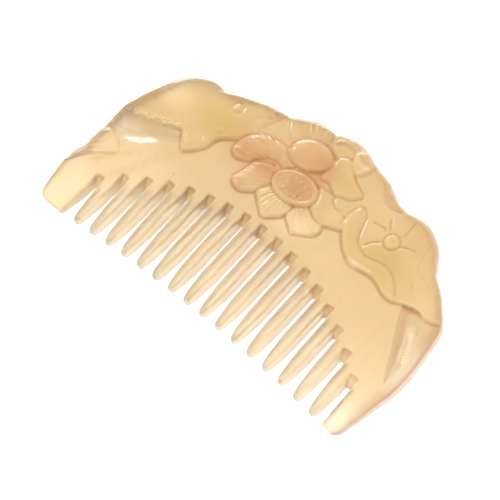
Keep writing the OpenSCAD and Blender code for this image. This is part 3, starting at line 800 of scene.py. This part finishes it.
def carving_tree(name, sockets):
    """A new tree for a carving tool, with the comb's mesh going in and out, and the tool's named sizes."""
    tree = bpy.data.node_groups.new(name, "GeometryNodeTree")
    tree.is_modifier = True
    tree.interface.new_socket("Geometry", in_out="OUTPUT", socket_type="NodeSocketGeometry")
    tree.interface.new_socket("Geometry", in_out="INPUT", socket_type="NodeSocketGeometry")
    for label, kind in {**sockets, "Depth": "Float", "Width": "Float", "Mask": "String",
                        "Material": "Material"}.items():
        tree.interface.new_socket(label, in_out="INPUT", socket_type="NodeSocket" + kind)
    return tree, add(tree, "NodeGroupInput").outputs


def flat_position(tree):
    """Where a point of the comb lies seen from above, and its height."""
    at = add(tree, "ShaderNodeSeparateXYZ", {0: add(tree, "GeometryNodeInputPosition").outputs[0]})
    return add(tree, "ShaderNodeCombineXYZ", {0: at.outputs[0], 1: at.outputs[1]}).outputs[0], at.outputs[2]


def press_in(tree, size, guide, element):
    """Presses the face in near the guide's points or edges, where the mask is, and ends the tree."""
    flat, height = flat_position(tree)
    near = add(tree, "GeometryNodeProximity", {0: guide, 2: flat}, target_element=element)
    fall = add(tree, "ShaderNodeMapRange", {0: near.outputs["Distance"], 2: size["Width"], 3: 1, 4: 0},
               interpolation_type="SMOOTHSTEP")
    mask = add(tree, "GeometryNodeInputNamedAttribute", {0: size["Mask"]}, data_type="FLOAT")
    on_face = add(tree, "ShaderNodeMath", {0: height, 1: PRESSED_ABOVE * MM}, operation="GREATER_THAN")
    depth = fall.outputs[0]
    for share in (mask.outputs[0], on_face.outputs[0], size["Depth"]):
        depth = add(tree, "ShaderNodeMath", {0: depth, 1: share}, operation="MULTIPLY").outputs[0]
    down = add(tree, "ShaderNodeMath", {0: depth, 1: -1}, operation="MULTIPLY")
    # Pressed-in places count as more hollow, so they get more painted shade.
    hollow = add(tree, "GeometryNodeInputNamedAttribute", {0: "hollow"}, data_type="FLOAT")
    deeper = add(tree, "ShaderNodeMath", {0: depth, 1: HOLLOW_SHARE / MM, 2: hollow.outputs[0]},
                 operation="MULTIPLY_ADD")
    kept = add(tree, "GeometryNodeStoreNamedAttribute",
               {0: size["Geometry"], 2: "hollow", 3: deeper.outputs[0]}, data_type="FLOAT")
    moved = add(tree, "GeometryNodeSetPosition",
                {0: kept.outputs[0], 3: add(tree, "ShaderNodeCombineXYZ", {2: down.outputs[0]}).outputs[0]})
    whole = add(tree, "GeometryNodeRealizeInstances", {0: moved.outputs[0]})
    dressed = add(tree, "GeometryNodeSetMaterial", {0: whole.outputs[0], 2: size["Material"]})
    add(tree, "NodeGroupOutput", {0: dressed.outputs[0]})
    return tree


def seed_tool():
    """Seeds scattered over an oval, no two nearer than their spacing."""
    tree, size = carving_tree("seeds_in_the_pod", {"Middle": "Vector", "Half Lengths": "Vector",
                                                   "Spacing": "Float", "Seed": "Int"})
    disc = add(tree, "GeometryNodeMeshCircle", {0: 40, 1: 1}, fill_type="NGON")
    place = add(tree, "GeometryNodeTransform", {0: disc.outputs[0]})
    for key, label in (("Translation", "Middle"), ("Scale", "Half Lengths")):
        tree.links.new(size[label], place.inputs[key])
    seeds = add(tree, "GeometryNodeDistributePointsOnFaces",
                {"Mesh": place.outputs[0], "Distance Min": size["Spacing"], "Density Max": 4e6,
                 "Seed": size["Seed"]}, distribute_method="POISSON")
    return press_in(tree, size, seeds.outputs[0], "POINTS")


def rib_tool():
    """Fine lines that spread like a fan from a centre, between an inner and an outer distance."""
    tree, size = carving_tree("ribs_in_a_fan", {"Centre": "Vector", "First Angle": "Float",
                                                "Last Angle": "Float", "Count": "Int", "Inner": "Float",
                                                "Outer": "Float"})
    spots = add(tree, "GeometryNodeMeshLine", {"Count": size["Count"], "Start Location": size["Centre"],
                                               "Offset": (0, 0, 0)})
    inner = add(tree, "ShaderNodeCombineXYZ", {0: size["Inner"]})
    outer = add(tree, "ShaderNodeCombineXYZ", {0: size["Outer"]})
    line = add(tree, "GeometryNodeMeshLine", {"Count": 2, "Start Location": inner.outputs[0],
                                              "Offset": outer.outputs[0]}, mode="END_POINTS")
    last = add(tree, "ShaderNodeMath", {0: size["Count"], 1: 1}, operation="SUBTRACT")
    angle = add(tree, "ShaderNodeMapRange",
                {0: add(tree, "GeometryNodeInputIndex").outputs[0], 2: last.outputs[0],
                 3: size["First Angle"], 4: size["Last Angle"]})
    turn = add(tree, "ShaderNodeCombineXYZ", {2: angle.outputs[0]})
    fan = add(tree, "GeometryNodeInstanceOnPoints", {"Points": spots.outputs[0], "Instance": line.outputs[0],
                                                     "Rotation": turn.outputs[0]})
    whole = add(tree, "GeometryNodeRealizeInstances", {0: fan.outputs[0]})
    return press_in(tree, size, whole.outputs[0], "EDGES")


def notch_tool():
    """Nicks left by a tool along a path, a spacing apart and a little scattered."""
    tree, size = carving_tree("nicks_along_a_path", {"Path": "Object", "Spacing": "Float", "Scatter": "Float",
                                                     "Seed": "Int"})
    path = add(tree, "GeometryNodeObjectInfo", {0: size["Path"]}, transform_space="RELATIVE")
    even = add(tree, "GeometryNodeResampleCurve",
               {"Curve": path.outputs["Geometry"], "Length": size["Spacing"]}, mode="LENGTH")
    nicks = add(tree, "GeometryNodeCurveToPoints", {0: even.outputs[0]}, mode="EVALUATED")
    low = add(tree, "ShaderNodeMath", {0: size["Scatter"], 1: -1}, operation="MULTIPLY")
    low = add(tree, "ShaderNodeCombineXYZ", {0: low.outputs[0], 1: low.outputs[0]})
    high = add(tree, "ShaderNodeCombineXYZ", {0: size["Scatter"], 1: size["Scatter"]})
    stray = add(tree, "FunctionNodeRandomValue",
                {0: low.outputs[0], 1: high.outputs[0], "Seed": size["Seed"]}, data_type="FLOAT_VECTOR")
    spread = add(tree, "GeometryNodeSetPosition", {0: nicks.outputs[0], 3: stray.outputs[0]})
    return press_in(tree, size, spread.outputs[0], "POINTS")


def carve_with(piece, tree, values):
    """Runs a carving tool on the comb and keeps its result as a plain mesh."""
    tool = piece.modifiers.new(tree.name, "NODES")
    tool.node_group = tree
    sockets = {item.name: item.identifier for item in tree.interface.items_tree if item.in_out == "INPUT"}
    for name, value in values.items():
        tool[sockets[name]] = value
    view = bpy.context.evaluated_depsgraph_get()
    old, piece_mesh = piece.data, bpy.data.meshes.new_from_object(piece.evaluated_get(view))
    piece.modifiers.remove(tool)
    piece.data = piece_mesh
    bpy.data.meshes.remove(old)


def path_object(name, points, origin):
    """A poly curve through smoothed points given in the comb's millimetres."""
    curve = bpy.data.curves.new(name, "CURVE")
    curve.dimensions = "3D"
    rows = evenly(smooth_curve(points), 0.3)
    spline = curve.splines.new("POLY")
    spline.points.add(len(rows) - 1)
    for point, row in zip(spline.points, rows):
        point.co = (*(Vector((*row, 0)) * MM + origin).xy, 0, 1)
    path = bpy.data.objects.new(name, curve)
    bpy.context.scene.collection.objects.link(path)
    return path


# Tints in the horn's colour: middle and half widths in millimetres, strength, and the finish colour mixed in.
# Most are the horn's own colour, but the two pale ones in the left scoop are a painted sheen, the pale one
# along the right flank is painted light on its wall, the mauve one along the tail's top is painted shade on
# its bevel, and the blush one below the small flower and the orange and amber ones in the fold beside the pod
# are painted shade.
HORN_CLOUDS = [((-53.5, 33.2), (4.5, 2.4), 0.8, "pale_and_lit"), ((-58, 31.5), (3, 3), 1.0, "pale_and_lit"),
               ((-44, 26), (14, 9), 0.35, "cream"), ((-57.3, 23.6), (4, 4), 0.5, "cream"),
               ((55, 3), (5, 7), 1.0, "pale_and_lit"), ((8, 39.5), (4.5, 3.2), 0.8, "pale_and_lit"),
               ((13, 46), (3, 2.5), 0.4, "cream"), ((51.7, 43), (4, 3.5), 0.5, "cream"),
               ((34.8, 46.6), (4, 3), 0.25, "amber"), ((-52, 47), (5, 4), 0.6, "pale_and_lit"),
               ((-4, 61.5), (9, 3.5), 0.3, "blush"), ((-43, 36.5), (3.5, 2.6), 0.2, "greenish"),
               ((-33, 49), (11, 6), 1.0, "greenish"), ((-51, 49), (7, 5), 1.0, "cream"),
               ((-44, 57.5), (8, 1.6), 0.3, "mauve"), ((59, 25), (2.2, 9), 0.9, "pale_and_lit"),
               ((22, 62), (4, 3), 0.5, "blush"), ((2, 38), (11, 3.6), 0.55, "cream"),
               ((10, 56), (4, 4), 0.5, "greenish"), ((-17, 48), (12, 8), 0.75, "blush"),
               ((-2, 54), (11, 10), 0.7, "blush"), ((39, 55), (10, 6), 0.3, "blush"),
               ((29, 46), (6, 4), 0.35, "blush"), ((20, 47), (4, 8), 0.25, "blush"),
               ((35, 44.5), (12, 5.5), 0.7, "greenish"), ((-0.5, 46.4), (8, 5.5), 0.5, "amber"),
               ((-1, 46.6), (6, 3.6), 0.4, "orange"), ((-22.5, 47), (3.5, 5), 0.6, "orange"),
               ((-15.5, 38), (3, 3), 0.9, "blush"), ((-13.5, 47), (6, 3), 0.8, "orange"),
               ((-15, 46.8), (4.5, 1.5), 0.4, "amber"), ((1, 56), (5, 5), 0.7, "orange"),
               ((1.8, 44.7), (0.5, 0.5), 1.0, "speck"), ((-32.9, 28.7), (0.4, 0.4), 0.4, "speck"),
               ((-10.5, 11), (0.45, 0.45), 0.4, "speck")]


def polished_horn(finish, origin):
    """Pale ox horn, cut, scraped and polished on a wheel: light passes right through it, softened by its
    cloudy inside and yellower the thicker it is, so thin teeth are nearly white and the bud is amber. Its
    surface is as glossy as varnish, with the slight ripple of hand polishing."""
    horn = bpy.data.materials.new("Polished horn")
    horn.use_nodes = True
    tree = horn.node_tree
    tree.nodes.clear()
    colour = {name: to_linear(getattr(finish, name))
              for name in ("honey", "cream", "greenish", "blush", "orange", "amber", "mauve", "grey",
                           "pale_and_lit", "speck")}
    masks = {name: add(tree, "ShaderNodeAttribute", attribute_name=name).outputs["Fac"]
             for name in ("tooth", "vein", "scoop", "hollow", "wall", "rim", "end_wall", "pod", "chatter",
                          "cloudy", "window")}
    # Places are read in the comb's own millimetres.
    here = add(tree, "ShaderNodeTexCoord").outputs["Object"]
    comb = add(tree, "ShaderNodeVectorMath", {0: here, 1: origin}, operation="SUBTRACT").outputs[0]
    comb = add(tree, "ShaderNodeVectorMath", {0: comb, 3: 1 / MM}, operation="SCALE").outputs[0]
    at = add(tree, "ShaderNodeSeparateXYZ", {0: comb}).outputs
    grain = add(tree, "ShaderNodeMapping", {"Vector": comb, "Rotation": (0, 0, math.radians(-8)),
                                            "Scale": (1, 18, 4)}, vector_type="TEXTURE").outputs[0]
    # Patterns, with how wide they are in millimetres. Clouds shift every border, so no tint ends on a line.
    # Growth grain runs down into the teeth in streaks 18 mm long. Fibres are finer in real horn, and are
    # drawn as coarse as they need to be to show. Hand polishing left a ripple, and a chattering gouge marks.
    pattern = {name: add(tree, "ShaderNodeTexNoise",
                         {"Vector": where, "Scale": 1 / width, "Detail": detail}).outputs["Fac"]
               for name, where, width, detail in (
                   ("clouds", comb, 12, 2.0), ("streaks", grain, 1, 3.0), ("fibres", comb, 0.7, 2.0),
                   ("ripple", comb, 5, 1.0), ("marks", comb, 0.6, 1.0))}
    # Specks of dust under the polish, some 0.3 mm across and 7 mm apart.
    specks = add(tree, "ShaderNodeTexVoronoi", {"Vector": comb, "Scale": 1 / 7}).outputs["Distance"]

    # The horn is paler down in the teeth.
    pale = add(tree, "ShaderNodeMapRange", {0: at[1], 1: 32, 2: 5, 3: 0, 4: 0.9},
               interpolation_type="SMOOTHSTEP").outputs[0]
    pale = add(tree, "ShaderNodeMath", {0: pattern["clouds"], 1: 0.25, 2: pale},
               operation="MULTIPLY_ADD").outputs[0]
    pale = add(tree, "ShaderNodeMath", {0: pale, 1: 0.125}, operation="SUBTRACT", use_clamp=True).outputs[0]
    # Tints in the order they lie over each other: what each follows, the span over which it comes in, or
    # none where the first is its share already, its strength, and its colour.
    tints = [(pale, None, 1, "cream")]
    for middle, half, strength, name in HORN_CLOUDS:
        off = add(tree, "ShaderNodeVectorMath", {0: comb, 1: (*middle, 0)}, operation="SUBTRACT").outputs[0]
        off = add(tree, "ShaderNodeVectorMath", {0: off, 1: (1 / half[0], 1 / half[1], 0)},
                  operation="MULTIPLY").outputs[0]
        reach = add(tree, "ShaderNodeVectorMath", {0: off}, operation="LENGTH").outputs["Value"]
        reach = add(tree, "ShaderNodeMath", {0: pattern["clouds"], 1: 0.7, 2: reach},
                    operation="MULTIPLY_ADD").outputs[0]
        tints.append((reach, (1.6, 0.55), strength, name))
    # Streaks are clearest in the teeth.
    streaky = add(tree, "ShaderNodeMath", {0: masks["tooth"], 1: 0.3, 2: 0.06},
                  operation="MULTIPLY_ADD").outputs[0]
    tints += [
        # The carved band is thicker than the plate, and looks deeper in colour.
        (at[2], (5.5, 7.2), finish.thick_tint, "greenish"),
        (pattern["streaks"], (0.44, 0.64), streaky, "amber"),
        (pattern["fibres"], (0.35, 0.7), 0.05, "amber"),
        (masks["vein"], None, 0.7, "greenish"),
        # Painted shade: the scoops are tinted grey where their curved floors would look darker.
        (masks["scoop"], None, finish.scoop_shade, "grey"),
        # Painted shade: brown in the hollows, along the rim and in the gaps' end walls. Painted highlight:
        # what stands high is pale. The teeth are pale too, and their side walls are painted pale as if lit
        # from below.
        (masks["hollow"], (0.01, 0.28), finish.hollow_shade, "amber"),
        (masks["hollow"], (-0.02, -0.3), 0.3, "cream"),
        (masks["tooth"], None, 0.35, "pale_and_lit"),
        (masks["wall"], None, 0.75, "pale_and_lit"),
        (masks["rim"], None, finish.rim_shade, "mauve"),
        (masks["end_wall"], None, finish.end_wall_shade, "amber"),
        (specks, (0.05, 0.02), 0.5, "amber"),
        # Painted highlights along the stripes of the window mask.
        (masks["window"], None, 0.9, "pale_and_lit")]
    body = colour["honey"]
    for value, span, strength, name in tints:
        if span:
            share = add(tree, "ShaderNodeMapRange", {0: value, 1: span[0], 2: span[1], 3: 0, 4: strength},
                        interpolation_type="SMOOTHSTEP")
        else:
            share = add(tree, "ShaderNodeMath", {0: value, 1: strength}, operation="MULTIPLY")
        body = add(tree, "ShaderNodeMix", {0: share.outputs[0], 6: body, 7: colour[name]},
                   data_type="RGBA").outputs[2]

    # The chatter marks sparkle, and the pod is scratched.
    marked = add(tree, "ShaderNodeMath", {0: masks["chatter"], 1: 8}, operation="MULTIPLY").outputs[0]
    marked = add(tree, "ShaderNodeMath", {0: masks["pod"], 1: 2.5, 2: marked},
                 operation="MULTIPLY_ADD").outputs[0]
    surface = pattern["ripple"]
    for name, share in (("fibres", 0.06), ("marks", marked)):
        surface = add(tree, "ShaderNodeMath", {0: pattern[name], 1: share, 2: surface},
                      operation="MULTIPLY_ADD").outputs[0]
    bump = add(tree, "ShaderNodeBump", {"Height": surface, "Distance": 0.12 * MM, "Strength": 0.5}).outputs[0]
    gloss = add(tree, "ShaderNodeMapRange", {0: pattern["streaks"], 3: finish.roughness - 0.04,
                                             4: finish.roughness + 0.06}).outputs[0]
    clear = finish.clearness
    # Cloudy horn is duller and lets less light through, and the painted highlight stripes are glossier and
    # clearer.
    for name, duller, clearer in (("cloudy", 0.1, finish.tooth_clearness - finish.clearness),
                                  ("window", -0.3, 0.2)):
        gloss = add(tree, "ShaderNodeMath", {0: masks[name], 1: duller, 2: gloss},
                    operation="MULTIPLY_ADD").outputs[0]
        clear = add(tree, "ShaderNodeMath", {0: masks[name], 1: clearer, 2: clear},
                    operation="MULTIPLY_ADD").outputs[0]
    shader = add(tree, "ShaderNodeBsdfPrincipled",
                 {"Base Color": body, "Roughness": gloss, "Normal": bump, "IOR": 1.54,
                  "Subsurface Weight": finish.glow, "Subsurface Radius": (1.0, 0.62, 0.3),
                  "Subsurface Scale": finish.glow_depth, "Transmission Weight": clear,
                  "Coat Weight": 1.0, "Coat Roughness": 0.05, "Coat Normal": bump})
    depth = add(tree, "ShaderNodeVolumeAbsorption", {"Color": to_linear(finish.depth_tint),
                                                     "Density": finish.depth_strength})
    add(tree, "ShaderNodeOutputMaterial", {0: shader.outputs[0], 1: depth.outputs[0]})
    return horn


class CombShape(bpy.types.PropertyGroup):
    """Sizes of the plate, the relief and the edges."""
    plate_height: FloatProperty(name="Plate height", description="Plain face above the back",
                                default=5.5 * MM, unit="LENGTH", precision=4)
    band_height: FloatProperty(name="Band height", description="The carved band's ground above the back",
                               default=6.5 * MM, unit="LENGTH", precision=4)
    fish_height: FloatProperty(name="Fish height", description="The fish's back above the comb's back",
                               default=7.25 * MM, unit="LENGTH", precision=4)
    petal_height: FloatProperty(name="Petal height", description="Petals and leaves above the back",
                                default=7.2 * MM, unit="LENGTH", precision=4)
    bud_height: FloatProperty(name="Bud height", description="The bud, the highest point, above the back",
                              default=8.1 * MM, unit="LENGTH", precision=4)
    scoop_depth: FloatProperty(name="Scoop depth", description="The two scoops' deepest place under the face",
                               default=SCOOP_DEPTH * MM, unit="LENGTH", precision=4)
    edge_rounding: FloatProperty(name="Edge rounding", description="How far a tooth's edges are rounded over",
                                 default=EDGE_ROUNDING * MM, unit="LENGTH", precision=5)
    mesh_spacing: FloatProperty(name="Mesh spacing", description="Distance between points on the carving",
                                default=0.23 * MM, unit="LENGTH", precision=5)


class CombCarving(bpy.types.PropertyGroup):
    """What the small carving tools leave."""
    seed_spacing: FloatProperty(name="Seed spacing", description="Least distance between the pod's seeds",
                                default=1.25 * MM, unit="LENGTH", precision=4)
    seed_height: FloatProperty(name="Seed height", description="How far a seed stands up",
                               default=0.24 * MM, unit="LENGTH", precision=5)
    rib_count: IntProperty(name="Petal ribs", description="Ribs in the whole fan of petals", default=44)
    rib_depth: FloatProperty(name="Rib depth", description="Depth of the lines on the petals",
                             default=0.1 * MM, unit="LENGTH", precision=5)
    nick_spacing: FloatProperty(name="Nick spacing", description="Distance between a gouge's nicks",
                                default=1.1 * MM, unit="LENGTH", precision=4)
    nick_depth: FloatProperty(name="Nick depth", description="Depth of a gouge's nicks",
                              default=0.3 * MM, unit="LENGTH", precision=5)
    seed: IntProperty(name="Seed", description="Start of the scattered seeds and nicks", default=7)


class CombFinish(bpy.types.PropertyGroup):
    """Colours and polish of the horn."""
    honey: StringProperty(name="Honey", description="The horn's body colour, as an sRGB hex",
                          default="#E6D3AA")
    cream: StringProperty(name="Cream", description="The teeth's and guards' colour", default="#FAECD0")
    greenish: StringProperty(name="Olive", description="The tint in the fish", default="#DEC482")
    blush: StringProperty(name="Blush", description="The tint in the bud and the petals", default="#DCAE86")
    orange: StringProperty(name="Orange", description="The tint in the pod and the folds", default="#D3925C")
    grey: StringProperty(name="Grey", description="The tint in the scoops", default="#C9BDA2")
    amber: StringProperty(name="Amber", description="The brown of rims and hollows", default="#C08A4C")
    mauve: StringProperty(name="Mauve", description="The greyish brown of the rim", default="#B98C68")
    speck: StringProperty(name="Speck", description="Dirt left in the carving", default="#3A2A1C")
    # Pale colour for painted light on the side walls and for painted highlights and sheen, and for a few
    # plain pale tints.
    pale_and_lit: StringProperty(name="Pale wall", description="The teeth's side walls", default="#FFF8E6")
    # Painted shade in the hollows.
    hollow_shade: FloatProperty(name="Hollow brown", description="How brown the hollows are",
                                default=0.85, subtype="FACTOR")
    # Painted shade along the rim and the tooth edges.
    rim_shade: FloatProperty(name="Rim brown", description="How brown the rim is",
                             default=0.8, subtype="FACTOR")
    # Painted shade in the gaps' ends.
    end_wall_shade: FloatProperty(name="End wall brown", description="How brown a gap's end is",
                                  default=0.1, subtype="FACTOR")
    # Painted shade in the scoops.
    scoop_shade: FloatProperty(name="Scoop grey", description="How grey the two scoops are",
                              default=0.5, subtype="FACTOR")
    thick_tint: FloatProperty(name="Thick tint", description="How much deeper the carved band's colour is",
                              default=0.5, subtype="FACTOR")
    roughness: FloatProperty(name="Roughness", description="How cloudy the horn is inside", default=0.43,
                             subtype="FACTOR")
    glow: FloatProperty(name="Glow", description="Share of the scattered light that goes into the horn",
                        default=1.0, subtype="FACTOR")
    glow_depth: FloatProperty(name="Glow depth", description="How far red light goes into the horn",
                              default=4 * MM, unit="LENGTH", precision=4)
    clearness: FloatProperty(name="Clearness", description="Share of the light that passes through the horn",
                             default=0.8, subtype="FACTOR")
    tooth_clearness: FloatProperty(name="Tooth clearness",
                                   description="The same share in the teeth and the rim", default=0.7,
                                   subtype="FACTOR")
    depth_tint: StringProperty(name="Depth tint", description="What colour thick horn takes on",
                               default="#F5D57B")
    depth_strength: FloatProperty(name="Depth strength", description="How soon thick horn takes it on",
                                  default=40.0)


class CombStage(bpy.types.PropertyGroup):
    """The pale floor, the soft lights and the camera."""
    floor_colour: StringProperty(name="Floor", description="The floor's colour, as an sRGB hex",
                                 default="#FAFAF8")
    floor_glow: FloatProperty(name="Floor glow", description="Light that comes up through the floor",
                              default=1.05)
    room_light: FloatProperty(name="Room light", description="Strength of the light from all round",
                              default=0.7)
    lamp_power: FloatProperty(name="Lamp power", description="Power of the main soft lamp", default=1.2,
                              unit="POWER")
    lens: FloatProperty(name="Lens", description="The camera's focal length", default=129.6, unit="CAMERA")


# Lamps: direction from the comb, share of the main lamp's power, distance and size in metres.
LAMPS = [("lamp_left", (-0.8, 0.12, 0.59), 0.6, 0.9, (0.12, 0.34)),
         ("lamp_far_left", (-0.748, 0.628, 0.21), 1.8, 0.9, (0.42, 0.3)),
         ("lamp_low_left", (-0.4, -0.83, 0.38), 0.12, 0.9, (0.14, 0.14)),
         ("lamp_over", (0.53, 0.2, 0.79), 0.5, 0.8, (0.12, 0.12))]

# The camera, in millimetres from the middle of the comb's box on its back, and its roll in degrees.
CAMERA_AT = (224.45, -101.53, 444.33)
CAMERA_AIM = (0.49, -8.15, 0)
CAMERA_ROLL = -26.725


class HORNCOMB_OT_comb(bpy.types.Operator):
    """Carve the comb from its plate, finish it with the small tools and dress it in polished horn"""
    bl_idname = "horn_comb.carve"
    bl_label = "Carve the comb"

    def execute(self, context):
        scene = context.scene
        shape, carving = scene.comb_shape, scene.comb_carving
        relief = carve_relief(shape)
        mesh, origin = comb_mesh(shape, relief)
        horn = polished_horn(scene.comb_finish, origin)
        mesh.materials.append(horn)
        comb = bpy.data.objects.new("horn_comb", mesh)
        scene.collection.objects.link(comb)

        def place(x, y):
            return (*(Vector((x, y, 0)) * MM + origin).xy, 0)

        seeds, ribs, nicks = seed_tool(), rib_tool(), notch_tool()
        carve_with(comb, seeds, {
            "Middle": place(*SEED_BED["middle"]),
            "Half Lengths": (SEED_BED["half"][0] * MM, SEED_BED["half"][1] * MM, 1),
            "Spacing": carving.seed_spacing, "Seed": carving.seed, "Depth": -carving.seed_height,
            "Width": 0.62 * carving.seed_spacing,
            "Mask": "pod", "Material": horn})
        for centre, first, last, part, inner, outer, mask, share in RIB_FANS:
            carve_with(comb, ribs, {
                "Centre": place(*centre), "First Angle": math.radians(first),
                "Last Angle": math.radians(last), "Count": carving.rib_count // part, "Inner": inner * MM,
                "Outer": outer * MM, "Depth": share * carving.rib_depth, "Width": RIB_WIDTH * MM,
                "Mask": mask, "Material": horn})
        for name, points, spacing, depth, width in NICKED_PATHS:
            path = path_object(name, points, origin)
            carve_with(comb, nicks, {
                "Path": path, "Spacing": spacing * carving.nick_spacing, "Scatter": 0.6 * width * MM,
                "Seed": carving.seed, "Depth": depth * carving.nick_depth, "Width": width * MM,
                "Mask": "everywhere", "Material": horn})
            curve = path.data
            bpy.data.objects.remove(path)
            bpy.data.curves.remove(curve)
        comb.data.name = "horn_comb"
        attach(comb, "root")
        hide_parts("comb")
        return {"FINISHED"}


class HORNCOMB_OT_stage(bpy.types.Operator):
    """Lay the pale floor, hang the soft lamps and set the camera"""
    bl_idname = "horn_comb.stage"
    bl_label = "Set the stage"

    def execute(self, context):
        scene, stage = context.scene, context.scene.comb_stage
        low, high = CAD_BOX
        middle = Vector(((low.x + high.x) / 2, (low.y + high.y) / 2, low.z))
        half, gap = 1.5, 0.02 * MM
        floor_mesh = bpy.data.meshes.new("floor")
        corners = ((-half, -half), (half, -half), (half, half), (-half, half))
        floor_mesh.from_pydata([(x, y, low.z - gap) for x, y in corners], [], [(0, 1, 2, 3)])
        floor = bpy.data.objects.new("floor", floor_mesh)
        scene.collection.objects.link(floor)
        # White paper over a light table, which glows evenly and lights the horn from below.
        paper = bpy.data.materials.new("Lit white paper")
        paper.use_nodes = True
        skin = paper.node_tree.nodes["Principled BSDF"]
        skin.inputs["Base Color"].default_value = to_linear(stage.floor_colour)
        skin.inputs["Roughness"].default_value = 1
        skin.inputs["Specular IOR Level"].default_value = 0
        skin.inputs["Emission Color"].default_value = to_linear(stage.floor_colour)
        skin.inputs["Emission Strength"].default_value = stage.floor_glow
        floor_mesh.materials.append(paper)
        room = bpy.data.worlds.new("white_room")
        room.use_nodes = True
        room.node_tree.nodes["Background"].inputs[0].default_value = (1, 1, 1, 1)
        room.node_tree.nodes["Background"].inputs[1].default_value = stage.room_light
        scene.world = room
        for name, direction, share, distance, size in LAMPS:
            light = bpy.data.lights.new(name, "AREA")
            light.shape = "RECTANGLE"
            light.size, light.size_y = size
            light.energy = share * stage.lamp_power
            lamp = bpy.data.objects.new(name, light)
            lamp.location = middle + Vector(direction).normalized() * distance
            lamp.rotation_euler = Vector(direction).to_track_quat("Z", "Y").to_euler()
            scene.collection.objects.link(lamp)
        data = bpy.data.cameras.new("camera")
        data.lens, data.sensor_width, data.clip_start = stage.lens, 36, 0.01
        camera = bpy.data.objects.new("camera", data)
        camera.location = middle + Vector(CAMERA_AT) * MM
        back = (Vector(CAMERA_AT) - Vector(CAMERA_AIM)).normalized()
        level = Vector((0, 0, 1)).cross(back).normalized()
        roll = math.radians(CAMERA_ROLL)
        right = level * math.cos(roll) + back.cross(level) * math.sin(roll)
        camera.rotation_euler = Matrix((right, back.cross(right), back)).transposed().to_euler()
        scene.collection.objects.link(camera)
        scene.camera = camera
        scene.view_settings.view_transform = "Standard"
        return {"FINISHED"}


class HORNCOMB_PT_panel(bpy.types.Panel):
    """The comb's sizes, finish and stage"""
    bl_idname = "HORNCOMB_PT_panel"
    bl_label = "Horn Comb"
    bl_space_type = "VIEW_3D"
    bl_region_type = "UI"
    bl_category = "Horn Comb"

    def draw(self, context):
        for label, name, operator in (("Shape", "comb_shape", None), ("Carving", "comb_carving", None),
                                      ("Finish", "comb_finish", HORNCOMB_OT_comb),
                                      ("Stage", "comb_stage", HORNCOMB_OT_stage)):
            box = self.layout.box()
            box.label(text=label)
            group = getattr(context.scene, name)
            for key in group.bl_rna.properties.keys():
                if key not in ("rna_type", "name"):
                    box.prop(group, key)
            if operator:
                box.operator(operator.bl_idname)


GROUPS = {"comb_shape": CombShape, "comb_carving": CombCarving, "comb_finish": CombFinish,
          "comb_stage": CombStage}
CLASSES = (*GROUPS.values(), HORNCOMB_OT_comb, HORNCOMB_OT_stage, HORNCOMB_PT_panel)


def register():
    for cls in CLASSES:
        bpy.utils.register_class(cls)
    for name, group in GROUPS.items():
        setattr(bpy.types.Scene, name, PointerProperty(type=group))


def unregister():
    for name in GROUPS:
        delattr(bpy.types.Scene, name)
    for cls in reversed(CLASSES):
        bpy.utils.unregister_class(cls)


def main():
    register()
    bpy.ops.horn_comb.stage()
    bpy.ops.horn_comb.carve()


if __name__ == "__main__":
    main()
